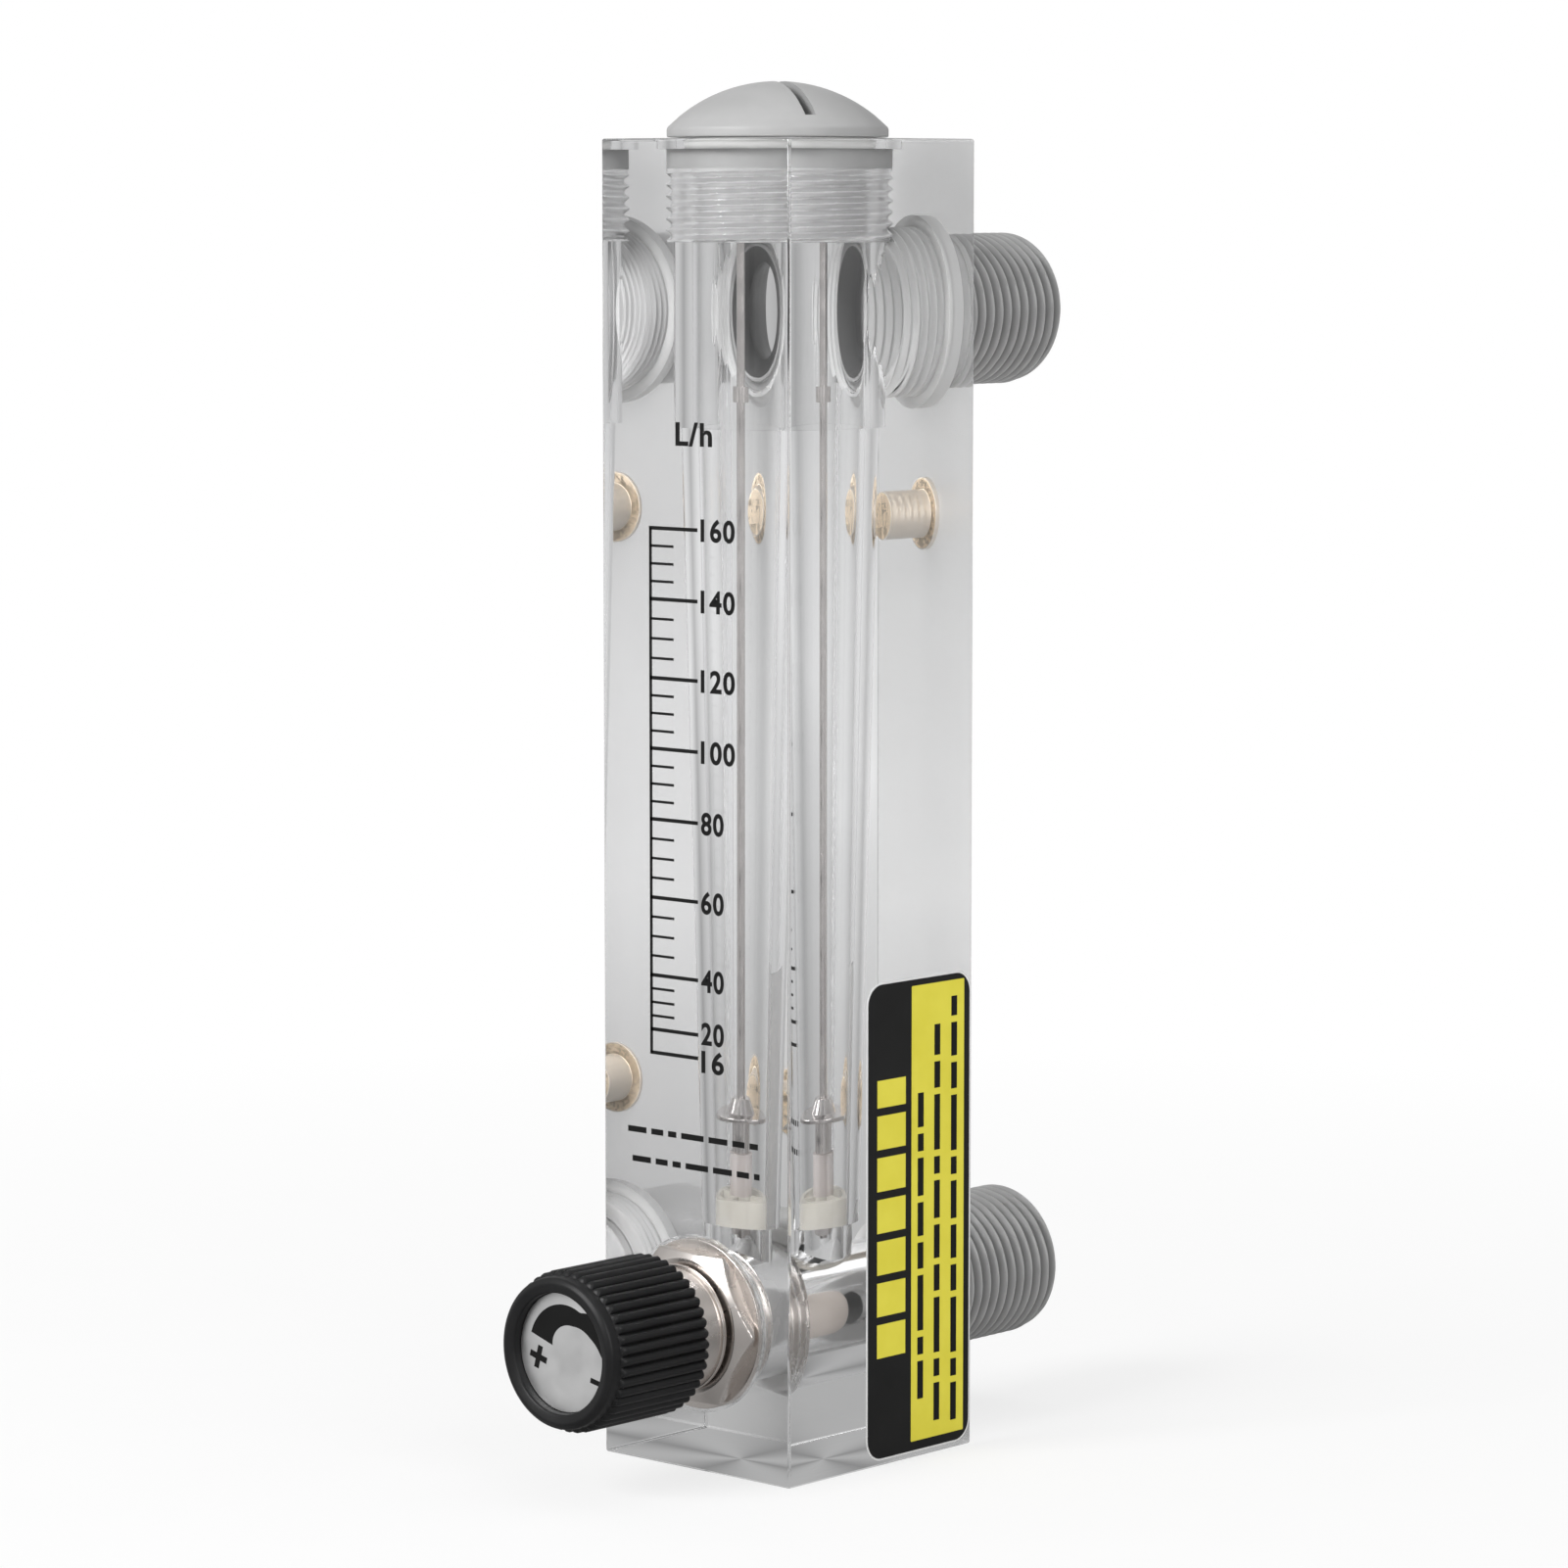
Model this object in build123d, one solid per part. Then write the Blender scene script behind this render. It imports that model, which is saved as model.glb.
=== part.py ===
from build123d import *
import math
import os

# Clear panel-mounted liquid flow meter with a float, a guide rod and a rising-stem valve.
# Millimetres, +Z up. The origin lies on the bottom face, under the axis of the metering bore.
# The scale and the knob face -Y, the two hose ports leave towards +Y, the label is on +X.

os.makedirs("parts", exist_ok=True)

# Clear block
BLOCK_WIDTH = 33.8
BLOCK_DEPTH = 37.2
BLOCK_HEIGHT = 178.0
BLOCK_EDGE = 0.4
FRONT_WALL = 16.4
FRONT_Y = -FRONT_WALL
BACK_Y = BLOCK_DEPTH - FRONT_WALL
SIDE_X = BLOCK_WIDTH / 2

# Clearances on the radius: a screwed or seated joint, a running fit, and a free hole
JOINT_GAP = 0.05
RUNNING_GAP = 0.05
FREE_GAP = 0.35

# Heights of the two port axes and of the two panel inserts, each set from the nearer end
PORT_LOW_Z = 20.0
PORT_HIGH_BELOW_TOP = 23.2
PORT_HIGH_Z = BLOCK_HEIGHT - PORT_HIGH_BELOW_TOP
INSERT_LOW_Z = 47.5
INSERT_HIGH_BELOW_TOP = 50.5
INSERT_HIGH_Z = BLOCK_HEIGHT - INSERT_HIGH_BELOW_TOP

# Metering bore: a narrow throat, a tapered measuring length, and a wide outlet chamber
THROAT_R = 5.1
TAPER_BOTTOM_Z = 32.4
TAPER_BOTTOM_R = 6.3
TAPER_TOP_BELOW_TOP = 38.3
TAPER_TOP_Z = BLOCK_HEIGHT - TAPER_TOP_BELOW_TOP
TAPER_TOP_R = 9.65
OUTLET_CHAMBER_R = 10.75

# Top plug: a domed cap with a coin slot, and a screwed neck
PLUG_THREAD_R = 12.0
PLUG_DEPTH = 13.7
PLUG_THREAD_BOTTOM_Z = BLOCK_HEIGHT - PLUG_DEPTH
PLUG_LEAD = 0.8
CAP_R = 14.8
CAP_GAP = 0.15
CAP_RIM_HEIGHT = 1.25
CAP_RISE = 6.2
CAP_EDGE = 0.25
SLOT_WIDTH = 1.5
SLOT_FLOOR_DEPTH = 4.6
SLOT_TURN_DEG = -28.4
PLUG_SEAL_SEAT_DEPTH = 1.4

# Hose fittings: nose, M23 thread, seal neck, flange let into the back face, G1/2 nipple
FITTING_BORE_R = 6.6
FITTING_NOSE_R = 9.4
FITTING_NOSE_DEPTH = 9.9
FITTING_NOSE_Y = BACK_Y - FITTING_NOSE_DEPTH
FITTING_THREAD_R = 11.4
FITTING_THREAD_DEPTH = 8.4
FITTING_THREAD_Y = BACK_Y - FITTING_THREAD_DEPTH
FITTING_NECK_R = 10.8
FITTING_NECK_DEPTH = 3.4
FITTING_NECK_Y = BACK_Y - FITTING_NECK_DEPTH
FLANGE_R = 13.0
FLANGE_THICKNESS = 1.4
NIPPLE_THREAD_R = 10.478
NIPPLE_NECK_R = 10.0
NIPPLE_NECK_LENGTH = 3.4
NIPPLE_LENGTH = 27.0
NIPPLE_CHAMFER = 0.9
NIPPLE_THREAD_PITCH = 1.814
NIPPLE_THREAD_DEPTH = 1.0
NIPPLE_CREST_WIDTH = 0.3
FITTING_SEAL_R = 0.75

# Brass panel inserts for M5 screws
INSERT_R = 3.25
INSERT_LENGTH = 9.0
INSERT_FLANGE_R = 4.9
INSERT_FLANGE_THICKNESS = 0.8
INSERT_SCREW_R = 2.1
INSERT_SCREW_DEPTH = 7.6
INSERT_GROOVES = 5
INSERT_GROOVE_WIDTH = 0.6
INSERT_GROOVE_DEPTH = 0.35

# Guide rod, its holder at the bottom of the taper, and the two float stops
ROD_R = 1.0
ROD_IN_PLUG = 8.0
SPIDER_HEIGHT = 3.6
SPIDER_HUB_R = 2.7
SPIDER_RING_WIDTH = 1.1
SPIDER_RIBS = 4
SPIDER_RIB_WIDTH = 1.4
LOWER_STOP_R = 2.7
LOWER_STOP_LENGTH = 5.7
UPPER_STOP_R = 1.9
UPPER_STOP_LENGTH = 2.1
UPPER_STOP_ABOVE_TAPER = 3.3
UPPER_STOP_Z = TAPER_TOP_Z + UPPER_STOP_ABOVE_TAPER
ROD_NUT_FLATS = 4.0
ROD_NUT_HEIGHT = 1.6
ROD_END = 0.6

# Float: a stem, a thin reading disc and a short cone, all one turned piece
FLOAT_STEM_R = 2.15
FLOAT_STEM_LENGTH = 4.9
FLOAT_DISC_R = 6.0
FLOAT_DISC_THICKNESS = 0.6
FLOAT_CONE_R = 3.3
FLOAT_CONE_TOP_R = 2.1
FLOAT_CONE_LENGTH = 2.0

# Valve: one chamber across the foot of the block, closed by a flat plug at its back wall.
# It is drawn four turns open, with one more turn left before the stem meets its stop.
VALVE_CHAMBER_R = 9.25
VALVE_SEAT_WALL = 2.9
VALVE_SEAT_R = 4.5
VALVE_OPENING = 4.0
VALVE_LAST_TURN = 1.0
VALVE_PLUG_R = 5.7
VALVE_PLUG_EDGE = 0.4
SWIVEL_PIN_R = 2.45
SWIVEL_PIN_DEPTH = 4.2
SWIVEL_BEAD_R = 3.0
SWIVEL_BEAD_LENGTH = 0.8
SWIVEL_BEAD_DEPTH = 2.2

# Bonnet: hexagon 20 across flats, collar let into the block, M20 thread, and a neck
HEX_FLATS = 20.0
HEX_PROUD = 2.6
HEX_FACE_R = 9.3
HEX_TURN_DEG = 1.5
HEX_CHAMFER = 0.9
BONNET_SEAT_R = 12.0
BONNET_SEAT_DEPTH = 3.0
BONNET_COLLAR_R = 11.5
BONNET_SEAL_R = 0.75
BONNET_THREAD_R = 10.0
BONNET_DEPTH = 8.0
BONNET_NECK_R = 6.5
BONNET_NECK_LENGTH = 5.6

# Gland nut on the neck, and the packing that it presses on the stem
GLAND_R = 8.3
GLAND_LIP_R = 8.6
GLAND_LIP_LENGTH = 0.6
GLAND_STANDOFF = 0.6
GLAND_WALL = 1.5
GLAND_LIFT = 0.3
PACKING_R = 5.0
PACKING_LENGTH = 2.0

# Stem: knob shaft, threaded shank, and a shoulder that stops it when fully open
SHAFT_R = 3.0
SHAFT_FLAT = 0.6
SHAFT_FLAT_LENGTH = 6.0
SHANK_R = 4.0
SHANK_BEHIND_PACKING = 1.6
SHOULDER_R = 5.0
SHOULDER_LENGTH = 1.45
SHOULDER_TO_PLUG = 1.3

# Knob: ribbed skirt over the gland, smooth bezel, face disc in a recess, fixing screw
KNOB_STANDOFF = 8.8
KNOB_LENGTH = 18.15
KNOB_ROOT_R = 10.15
KNOB_RIB_HEIGHT = 0.65
KNOB_RIBS = 44
KNOB_RIB_START = 1.85
KNOB_CAVITY_R = 9.2
KNOB_CAVITY_DEPTH = 6.4
KNOB_FACE_R = 8.0
KNOB_FACE_DEPTH = 1.7
KNOB_BEZEL_CREST_R = 9.3
KNOB_BEZEL_EDGE_R = 10.0
KNOB_HUB_FLOOR = 0.6
FACE_DISC_THICKNESS = 0.6
SCREW_HEAD_R = 2.75
SCREW_HEAD_HEIGHT = 2.0
SCREW_DRIVE_FLATS = 2.75
SCREW_R = 1.25
SCREW_LENGTH = 5.6

# Side label: a thin rounded sheet near the lower back corner of the +X face
LABEL_WIDTH = 21.4
LABEL_HEIGHT = 65.0
LABEL_THICKNESS = 0.15
LABEL_CORNER = 3.0
LABEL_BACK_MARGIN = 0.4
LABEL_FOOT_MARGIN = 0.8

# Levels that follow from the values above
plug_seal_r = (PLUG_SEAL_SEAT_DEPTH + CAP_GAP) / 2
plug_seal_ring_r = PLUG_THREAD_R + JOINT_GAP + plug_seal_r
cap_under_z = BLOCK_HEIGHT + CAP_GAP
cap_apex_z = cap_under_z + CAP_RIM_HEIGHT + CAP_RISE
flange_y = BACK_Y - FLANGE_THICKNESS
fitting_seat_y = flange_y - 2 * FITTING_SEAL_R
nipple_end_y = BACK_Y + NIPPLE_LENGTH
spider_top_z = TAPER_BOTTOM_Z + SPIDER_HEIGHT
float_rest_z = spider_top_z + LOWER_STOP_LENGTH
hex_front_y = FRONT_Y - HEX_PROUD
bonnet_seat_y = FRONT_Y + BONNET_SEAT_DEPTH
bonnet_tail_y = FRONT_Y + BONNET_DEPTH
collar_rear_y = bonnet_seat_y - 2 * BONNET_SEAL_R
neck_front_y = hex_front_y - BONNET_NECK_LENGTH
gland_front_y = neck_front_y - GLAND_LIFT - GLAND_WALL
shank_start_y = neck_front_y + PACKING_LENGTH + SHANK_BEHIND_PACKING
shoulder_y = bonnet_tail_y + VALVE_LAST_TURN + RUNNING_GAP
shoulder_rear_y = shoulder_y + SHOULDER_LENGTH
plug_front_y = shoulder_rear_y + SHOULDER_TO_PLUG
valve_seat_y = FITTING_NOSE_Y - VALVE_SEAT_WALL
plug_end_y = valve_seat_y - VALVE_OPENING
knob_rear_y = FRONT_Y - KNOB_STANDOFF
knob_front_y = knob_rear_y - KNOB_LENGTH
knob_hub_y = knob_rear_y - KNOB_CAVITY_DEPTH
disc_rear_y = knob_front_y + KNOB_FACE_DEPTH + FACE_DISC_THICKNESS
shaft_tip_y = knob_hub_y - SHAFT_FLAT_LENGTH
screw_seat_y = shaft_tip_y - KNOB_HUB_FLOOR


# Helpers: solids of revolution about the vertical axis or about a horizontal port axis
def turned(profile):
    """Solid turned about +Z from a closed list of (radius, height) points."""
    outline = Polyline(*[(r, 0, h) for r, h in profile], close=True)
    return revolve(make_face(outline), axis=Axis.Z)


def tube(outer_r, inner_r, start, end):
    """Plain ring or, with no inner radius, a plain cylinder, along +Z."""
    return turned([(inner_r, start), (outer_r, start), (outer_r, end), (inner_r, end)])


def across(part, axis_z):
    """Lays a part turned about +Z along +Y, at the height of its axis."""
    return Pos(0, 0, axis_z) * Rot(-90, 0, 0) * part


def seal_ring(centre_r, section_r, height):
    """O-ring about +Z with its section centred at a height."""
    return Pos(0, 0, height) * Torus(centre_r, section_r)


def hexagon(flats, start, end, turn_deg=0.0):
    """Hexagonal prism along +Z, a given size across its flats."""
    outline = RegularPolygon(radius=flats / 2, side_count=6, major_radius=False, rotation=turn_deg)
    return Pos(0, 0, start) * extrude(outline, amount=end - start)


def save(part, node):
    """Writes one node as a STEP file."""
    part.label = node
    export_step(part, os.path.join("parts", node + ".step"))


# Clear block with its crossing bores
def metering_bore():
    """Everything that is bored down the block from its top face."""
    thread_r = PLUG_THREAD_R + JOINT_GAP
    seal_seat_z = BLOCK_HEIGHT - PLUG_SEAL_SEAT_DEPTH
    seal_seat_r = plug_seal_ring_r + plug_seal_r + JOINT_GAP
    return turned([
        (0, PORT_LOW_Z),
        (THROAT_R, PORT_LOW_Z),
        (THROAT_R, TAPER_BOTTOM_Z),
        (TAPER_BOTTOM_R, TAPER_BOTTOM_Z),
        (TAPER_TOP_R, TAPER_TOP_Z),
        (OUTLET_CHAMBER_R, TAPER_TOP_Z),
        (OUTLET_CHAMBER_R, PLUG_THREAD_BOTTOM_Z),
        (thread_r, PLUG_THREAD_BOTTOM_Z),
        (thread_r, seal_seat_z),
        (seal_seat_r, seal_seat_z),
        (seal_seat_r, BLOCK_HEIGHT + 1),
        (0, BLOCK_HEIGHT + 1),
    ])


def fitting_bore(start_y):
    """Stepped hole for one hose fitting, from inside the block out through its back face."""
    nose_r = FITTING_NOSE_R + JOINT_GAP
    thread_r = FITTING_THREAD_R + JOINT_GAP
    flange_r = FLANGE_R + JOINT_GAP
    return turned([
        (0, start_y),
        (nose_r, start_y),
        (nose_r, FITTING_THREAD_Y),
        (thread_r, FITTING_THREAD_Y),
        (thread_r, fitting_seat_y),
        (flange_r, fitting_seat_y),
        (flange_r, BACK_Y + 1),
        (0, BACK_Y + 1),
    ])


def valve_bore():
    """Seat for the bonnet, its thread, the valve chamber and the seat hole behind it."""
    thread_r = BONNET_THREAD_R + JOINT_GAP
    return turned([
        (0, FRONT_Y - 1),
        (BONNET_SEAT_R, FRONT_Y - 1),
        (BONNET_SEAT_R, bonnet_seat_y),
        (thread_r, bonnet_seat_y),
        (thread_r, bonnet_tail_y),
        (VALVE_CHAMBER_R, bonnet_tail_y),
        (VALVE_CHAMBER_R, valve_seat_y),
        (VALVE_SEAT_R, valve_seat_y),
        (VALVE_SEAT_R, FITTING_NOSE_Y + 1),
        (0, FITTING_NOSE_Y + 1),
    ])


def insert_bore():
    """Blind hole with a flared mouth for one panel insert."""
    hole_r = INSERT_R + JOINT_GAP
    flare_r = INSERT_FLANGE_R + JOINT_GAP
    return turned([
        (0, BACK_Y - INSERT_LENGTH),
        (hole_r, BACK_Y - INSERT_LENGTH),
        (hole_r, BACK_Y - INSERT_FLANGE_THICKNESS),
        (flare_r, BACK_Y - INSERT_FLANGE_THICKNESS),
        (flare_r, BACK_Y + 1),
        (0, BACK_Y + 1),
    ])


def body_block():
    """Polished block with every bore cut into it."""
    centre_y = (FRONT_Y + BACK_Y) / 2
    block = Pos(0, centre_y, BLOCK_HEIGHT / 2) * Box(BLOCK_WIDTH, BLOCK_DEPTH, BLOCK_HEIGHT)
    block = chamfer(block.edges(), BLOCK_EDGE)
    block -= metering_bore()
    block -= across(fitting_bore(0), PORT_HIGH_Z)
    block -= across(fitting_bore(FITTING_NOSE_Y), PORT_LOW_Z)
    block -= across(valve_bore(), PORT_LOW_Z)
    for insert_z in (INSERT_LOW_Z, INSERT_HIGH_Z):
        block -= across(insert_bore(), insert_z)
    return block


# Top plug with its domed cap
def top_plug():
    """Screwed plug whose dome stands on the block, with a coin slot across it."""
    rim_top_z = cap_under_z + CAP_RIM_HEIGHT
    dome_r = (CAP_R ** 2 + CAP_RISE ** 2) / (2 * CAP_RISE)
    half_r = CAP_R / 2
    half_z = cap_apex_z - dome_r + math.sqrt(dome_r ** 2 - half_r ** 2)
    stem_points = [
        (0, 0, cap_apex_z),
        (0, 0, PLUG_THREAD_BOTTOM_Z),
        (PLUG_THREAD_R - PLUG_LEAD, 0, PLUG_THREAD_BOTTOM_Z),
        (PLUG_THREAD_R, 0, PLUG_THREAD_BOTTOM_Z + PLUG_LEAD),
        (PLUG_THREAD_R, 0, cap_under_z),
        (CAP_R - CAP_EDGE, 0, cap_under_z),
        (CAP_R, 0, cap_under_z + CAP_EDGE),
        (CAP_R, 0, rim_top_z),
    ]
    dome = ThreePointArc((CAP_R, 0, rim_top_z), (half_r, 0, half_z), (0, 0, cap_apex_z))
    plug = revolve(make_face(Polyline(*stem_points) + dome), axis=Axis.Z)
    slot = Pos(0, 0, cap_apex_z - SLOT_FLOOR_DEPTH) * Box(
        2 * CAP_R, SLOT_WIDTH, 2 * SLOT_FLOOR_DEPTH, align=(Align.CENTER, Align.CENTER, Align.MIN))
    plug -= Rot(0, 0, SLOT_TURN_DEG) * slot
    rod_hole_top_z = PLUG_THREAD_BOTTOM_Z + ROD_IN_PLUG
    plug -= tube(ROD_R, 0, PLUG_THREAD_BOTTOM_Z - 1, rod_hole_top_z)
    return plug


# Hose fittings, one shape used twice
def nipple_thread():
    """Outline of the nipple's thread from its neck to its chamfer, one V-groove for each turn."""
    start_y = BACK_Y + NIPPLE_NECK_LENGTH
    end_y = nipple_end_y - NIPPLE_CHAMFER
    root_r = NIPPLE_THREAD_R - NIPPLE_THREAD_DEPTH
    groove_width = NIPPLE_THREAD_PITCH - NIPPLE_CREST_WIDTH
    turns = int((end_y - start_y) / NIPPLE_THREAD_PITCH)
    points = [(NIPPLE_THREAD_R, start_y)]
    for index in range(turns):
        groove_y = end_y - (turns - index) * NIPPLE_THREAD_PITCH
        points.append((NIPPLE_THREAD_R, groove_y))
        points.append((root_r, groove_y + groove_width / 2))
        points.append((NIPPLE_THREAD_R, groove_y + groove_width))
    points.append((NIPPLE_THREAD_R, end_y))
    return points


def hose_fitting():
    """Screwed fitting along +Y with a flange and a threaded nipple."""
    return turned([
        (FITTING_BORE_R, FITTING_NOSE_Y),
        (FITTING_NOSE_R, FITTING_NOSE_Y),
        (FITTING_NOSE_R, FITTING_THREAD_Y),
        (FITTING_THREAD_R, FITTING_THREAD_Y),
        (FITTING_THREAD_R, FITTING_NECK_Y),
        (FITTING_NECK_R, FITTING_NECK_Y),
        (FITTING_NECK_R, flange_y),
        (FLANGE_R, flange_y),
        (FLANGE_R, BACK_Y),
        (NIPPLE_NECK_R, BACK_Y),
        (NIPPLE_NECK_R, BACK_Y + NIPPLE_NECK_LENGTH),
        *nipple_thread(),
        (NIPPLE_THREAD_R - NIPPLE_CHAMFER, nipple_end_y),
        (FITTING_BORE_R, nipple_end_y),
    ])


def fitting_seal():
    """O-ring between a fitting's flange and the floor of its counterbore."""
    centre_r = FITTING_NECK_R + JOINT_GAP + FITTING_SEAL_R
    return seal_ring(centre_r, FITTING_SEAL_R, flange_y - FITTING_SEAL_R)


# Panel inserts, one shape used twice
def panel_insert():
    """Flanged brass insert with grooves round it and a blind screw hole."""
    insert = tube(INSERT_R, 0, BACK_Y - INSERT_LENGTH, BACK_Y)
    insert += tube(INSERT_FLANGE_R, 0, BACK_Y - INSERT_FLANGE_THICKNESS, BACK_Y)
    insert -= tube(INSERT_SCREW_R, 0, BACK_Y - INSERT_SCREW_DEPTH, BACK_Y + 1)
    groove_floor_r = INSERT_R - INSERT_GROOVE_DEPTH
    groove_pitch = (INSERT_LENGTH - INSERT_FLANGE_THICKNESS) / (INSERT_GROOVES + 1)
    for index in range(INSERT_GROOVES):
        groove_y = BACK_Y - INSERT_LENGTH + (index + 1) * groove_pitch - INSERT_GROOVE_WIDTH / 2
        insert -= tube(INSERT_R + 1, groove_floor_r, groove_y, groove_y + INSERT_GROOVE_WIDTH)
    return insert


# Guide rod assembly in the metering bore
def guide_rod():
    """Straight rod from its nut in the throat up into the plug."""
    start_z = TAPER_BOTTOM_Z - ROD_NUT_HEIGHT - ROD_END
    return tube(ROD_R, 0, start_z, PLUG_THREAD_BOTTOM_Z + ROD_IN_PLUG)


def rod_spider():
    """Holder that stands on the step over the throat and lets the liquid past its ribs."""
    ring_r = TAPER_BOTTOM_R - RUNNING_GAP
    hub = tube(SPIDER_HUB_R, ROD_R, TAPER_BOTTOM_Z, spider_top_z)
    ring = tube(ring_r, ring_r - SPIDER_RING_WIDTH, TAPER_BOTTOM_Z, spider_top_z)
    spider = hub + ring
    rib_start = SPIDER_HUB_R - SPIDER_RIB_WIDTH / 4
    rib_end = ring_r - SPIDER_RING_WIDTH / 2
    rib = Pos((rib_start + rib_end) / 2, 0, TAPER_BOTTOM_Z) * Box(
        rib_end - rib_start, SPIDER_RIB_WIDTH, SPIDER_HEIGHT, align=(Align.CENTER, Align.CENTER, Align.MIN))
    for index in range(SPIDER_RIBS):
        spider += Rot(0, 0, index * 360 / SPIDER_RIBS) * rib
    return spider


def rod_nut():
    """Small hexagon nut under the spider."""
    nut = hexagon(ROD_NUT_FLATS, TAPER_BOTTOM_Z - ROD_NUT_HEIGHT, TAPER_BOTTOM_Z)
    return nut - tube(ROD_R, 0, TAPER_BOTTOM_Z - ROD_NUT_HEIGHT - 1, TAPER_BOTTOM_Z + 1)


def float_body():
    """Turned float, standing on the lower stop, that runs up the rod."""
    bore_r = ROD_R + RUNNING_GAP
    disc_z = float_rest_z + FLOAT_STEM_LENGTH
    cone_z = disc_z + FLOAT_DISC_THICKNESS
    return turned([
        (bore_r, float_rest_z),
        (FLOAT_STEM_R, float_rest_z),
        (FLOAT_STEM_R, disc_z),
        (FLOAT_DISC_R, disc_z),
        (FLOAT_DISC_R, cone_z),
        (FLOAT_CONE_R, cone_z),
        (FLOAT_CONE_TOP_R, cone_z + FLOAT_CONE_LENGTH),
        (bore_r, cone_z + FLOAT_CONE_LENGTH),
    ])


# Valve bonnet, gland and packing
def valve_bonnet():
    """Hexagon-headed bonnet screwed into the front of the valve chamber."""
    corner_r = HEX_FLATS / 2 / math.cos(math.pi / 6)
    chamfer_y = hex_front_y + (corner_r - HEX_FACE_R) * math.tan(math.radians(30))
    head_limit = turned([
        (0, hex_front_y),
        (HEX_FACE_R, hex_front_y),
        (corner_r, chamfer_y),
        (corner_r, FRONT_Y - HEX_CHAMFER),
        (BONNET_COLLAR_R - HEX_CHAMFER, FRONT_Y),
        (0, FRONT_Y),
    ])
    bonnet = hexagon(HEX_FLATS, hex_front_y, FRONT_Y, HEX_TURN_DEG) & head_limit
    bonnet += tube(BONNET_COLLAR_R, 0, FRONT_Y, collar_rear_y)
    bonnet += tube(BONNET_THREAD_R, 0, collar_rear_y, bonnet_tail_y)
    bonnet += tube(BONNET_NECK_R, 0, neck_front_y, hex_front_y)
    bonnet -= tube(SHANK_R + RUNNING_GAP, 0, neck_front_y - 1, bonnet_tail_y + 1)
    bonnet -= tube(PACKING_R, 0, neck_front_y - 1, neck_front_y + PACKING_LENGTH)
    return bonnet


def bonnet_seal():
    """O-ring between the bonnet's collar and the floor of its seat."""
    centre_r = BONNET_THREAD_R + JOINT_GAP + BONNET_SEAL_R
    return seal_ring(centre_r, BONNET_SEAL_R, bonnet_seat_y - BONNET_SEAL_R)


def gland_nut():
    """Round nut on the bonnet's neck, with a lip at its back and a nose on the packing."""
    rear_y = hex_front_y - GLAND_STANDOFF
    inner_wall_y = gland_front_y + GLAND_WALL
    gland = tube(GLAND_R, 0, gland_front_y, rear_y)
    gland += tube(GLAND_LIP_R, 0, rear_y - GLAND_LIP_LENGTH, rear_y)
    gland -= tube(BONNET_NECK_R + JOINT_GAP, 0, inner_wall_y, rear_y + 1)
    gland += tube(PACKING_R - JOINT_GAP, 0, inner_wall_y, neck_front_y)
    gland -= tube(SHAFT_R + FREE_GAP, 0, gland_front_y - 1, rear_y + 1)
    return gland


def stem_packing():
    """Packing ring in the bonnet's neck, close round the stem."""
    return tube(PACKING_R - JOINT_GAP, SHAFT_R + RUNNING_GAP, neck_front_y, neck_front_y + PACKING_LENGTH)


# Stem and plug, which turn and slide together on the thread
def valve_stem():
    """Stem with the knob's shaft, the shank, the stop shoulder and the swivel pin."""
    pin_end_y = plug_front_y + SWIVEL_PIN_DEPTH
    bead_y = plug_front_y + SWIVEL_BEAD_DEPTH
    stem = tube(SHAFT_R, 0, shaft_tip_y, shank_start_y)
    stem += tube(SHANK_R, 0, shank_start_y, shoulder_y)
    stem += tube(SHOULDER_R, 0, shoulder_y, shoulder_rear_y)
    stem += tube(SWIVEL_PIN_R, 0, shoulder_rear_y, pin_end_y)
    stem += tube(SWIVEL_BEAD_R, 0, bead_y, bead_y + SWIVEL_BEAD_LENGTH)
    stem -= tube(SCREW_R, 0, shaft_tip_y - 1, shaft_tip_y + SCREW_LENGTH)
    return stem - shaft_flat(0)


def shaft_flat(gap):
    """Cutter for the flat on the knob's shaft, set back by a gap, ahead of the hub's mouth."""
    flat_x = SHAFT_R - SHAFT_FLAT + gap
    length = knob_hub_y - shaft_tip_y
    return Pos(flat_x, 0, shaft_tip_y) * Box(
        SHAFT_R, 3 * SHAFT_R, length, align=(Align.MIN, Align.CENTER, Align.MIN))


def valve_plug():
    """Blunt plug on the stem's swivel pin, flat where it closes the seat hole."""
    edge_y = plug_end_y - VALVE_PLUG_EDGE
    plug = turned([
        (0, plug_front_y),
        (VALVE_PLUG_R - VALVE_PLUG_EDGE, plug_front_y),
        (VALVE_PLUG_R, plug_front_y + VALVE_PLUG_EDGE),
        (VALVE_PLUG_R, edge_y),
        (VALVE_PLUG_R - VALVE_PLUG_EDGE, plug_end_y),
        (0, plug_end_y),
    ])
    groove_y = plug_front_y + SWIVEL_BEAD_DEPTH - RUNNING_GAP
    groove_length = SWIVEL_BEAD_LENGTH + 2 * RUNNING_GAP
    pin_hole_end_y = plug_front_y + SWIVEL_PIN_DEPTH + 2 * RUNNING_GAP
    plug -= tube(SWIVEL_PIN_R + RUNNING_GAP, 0, plug_front_y - 1, pin_hole_end_y)
    plug -= tube(SWIVEL_BEAD_R + RUNNING_GAP, 0, groove_y, groove_y + groove_length)
    return plug


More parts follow.
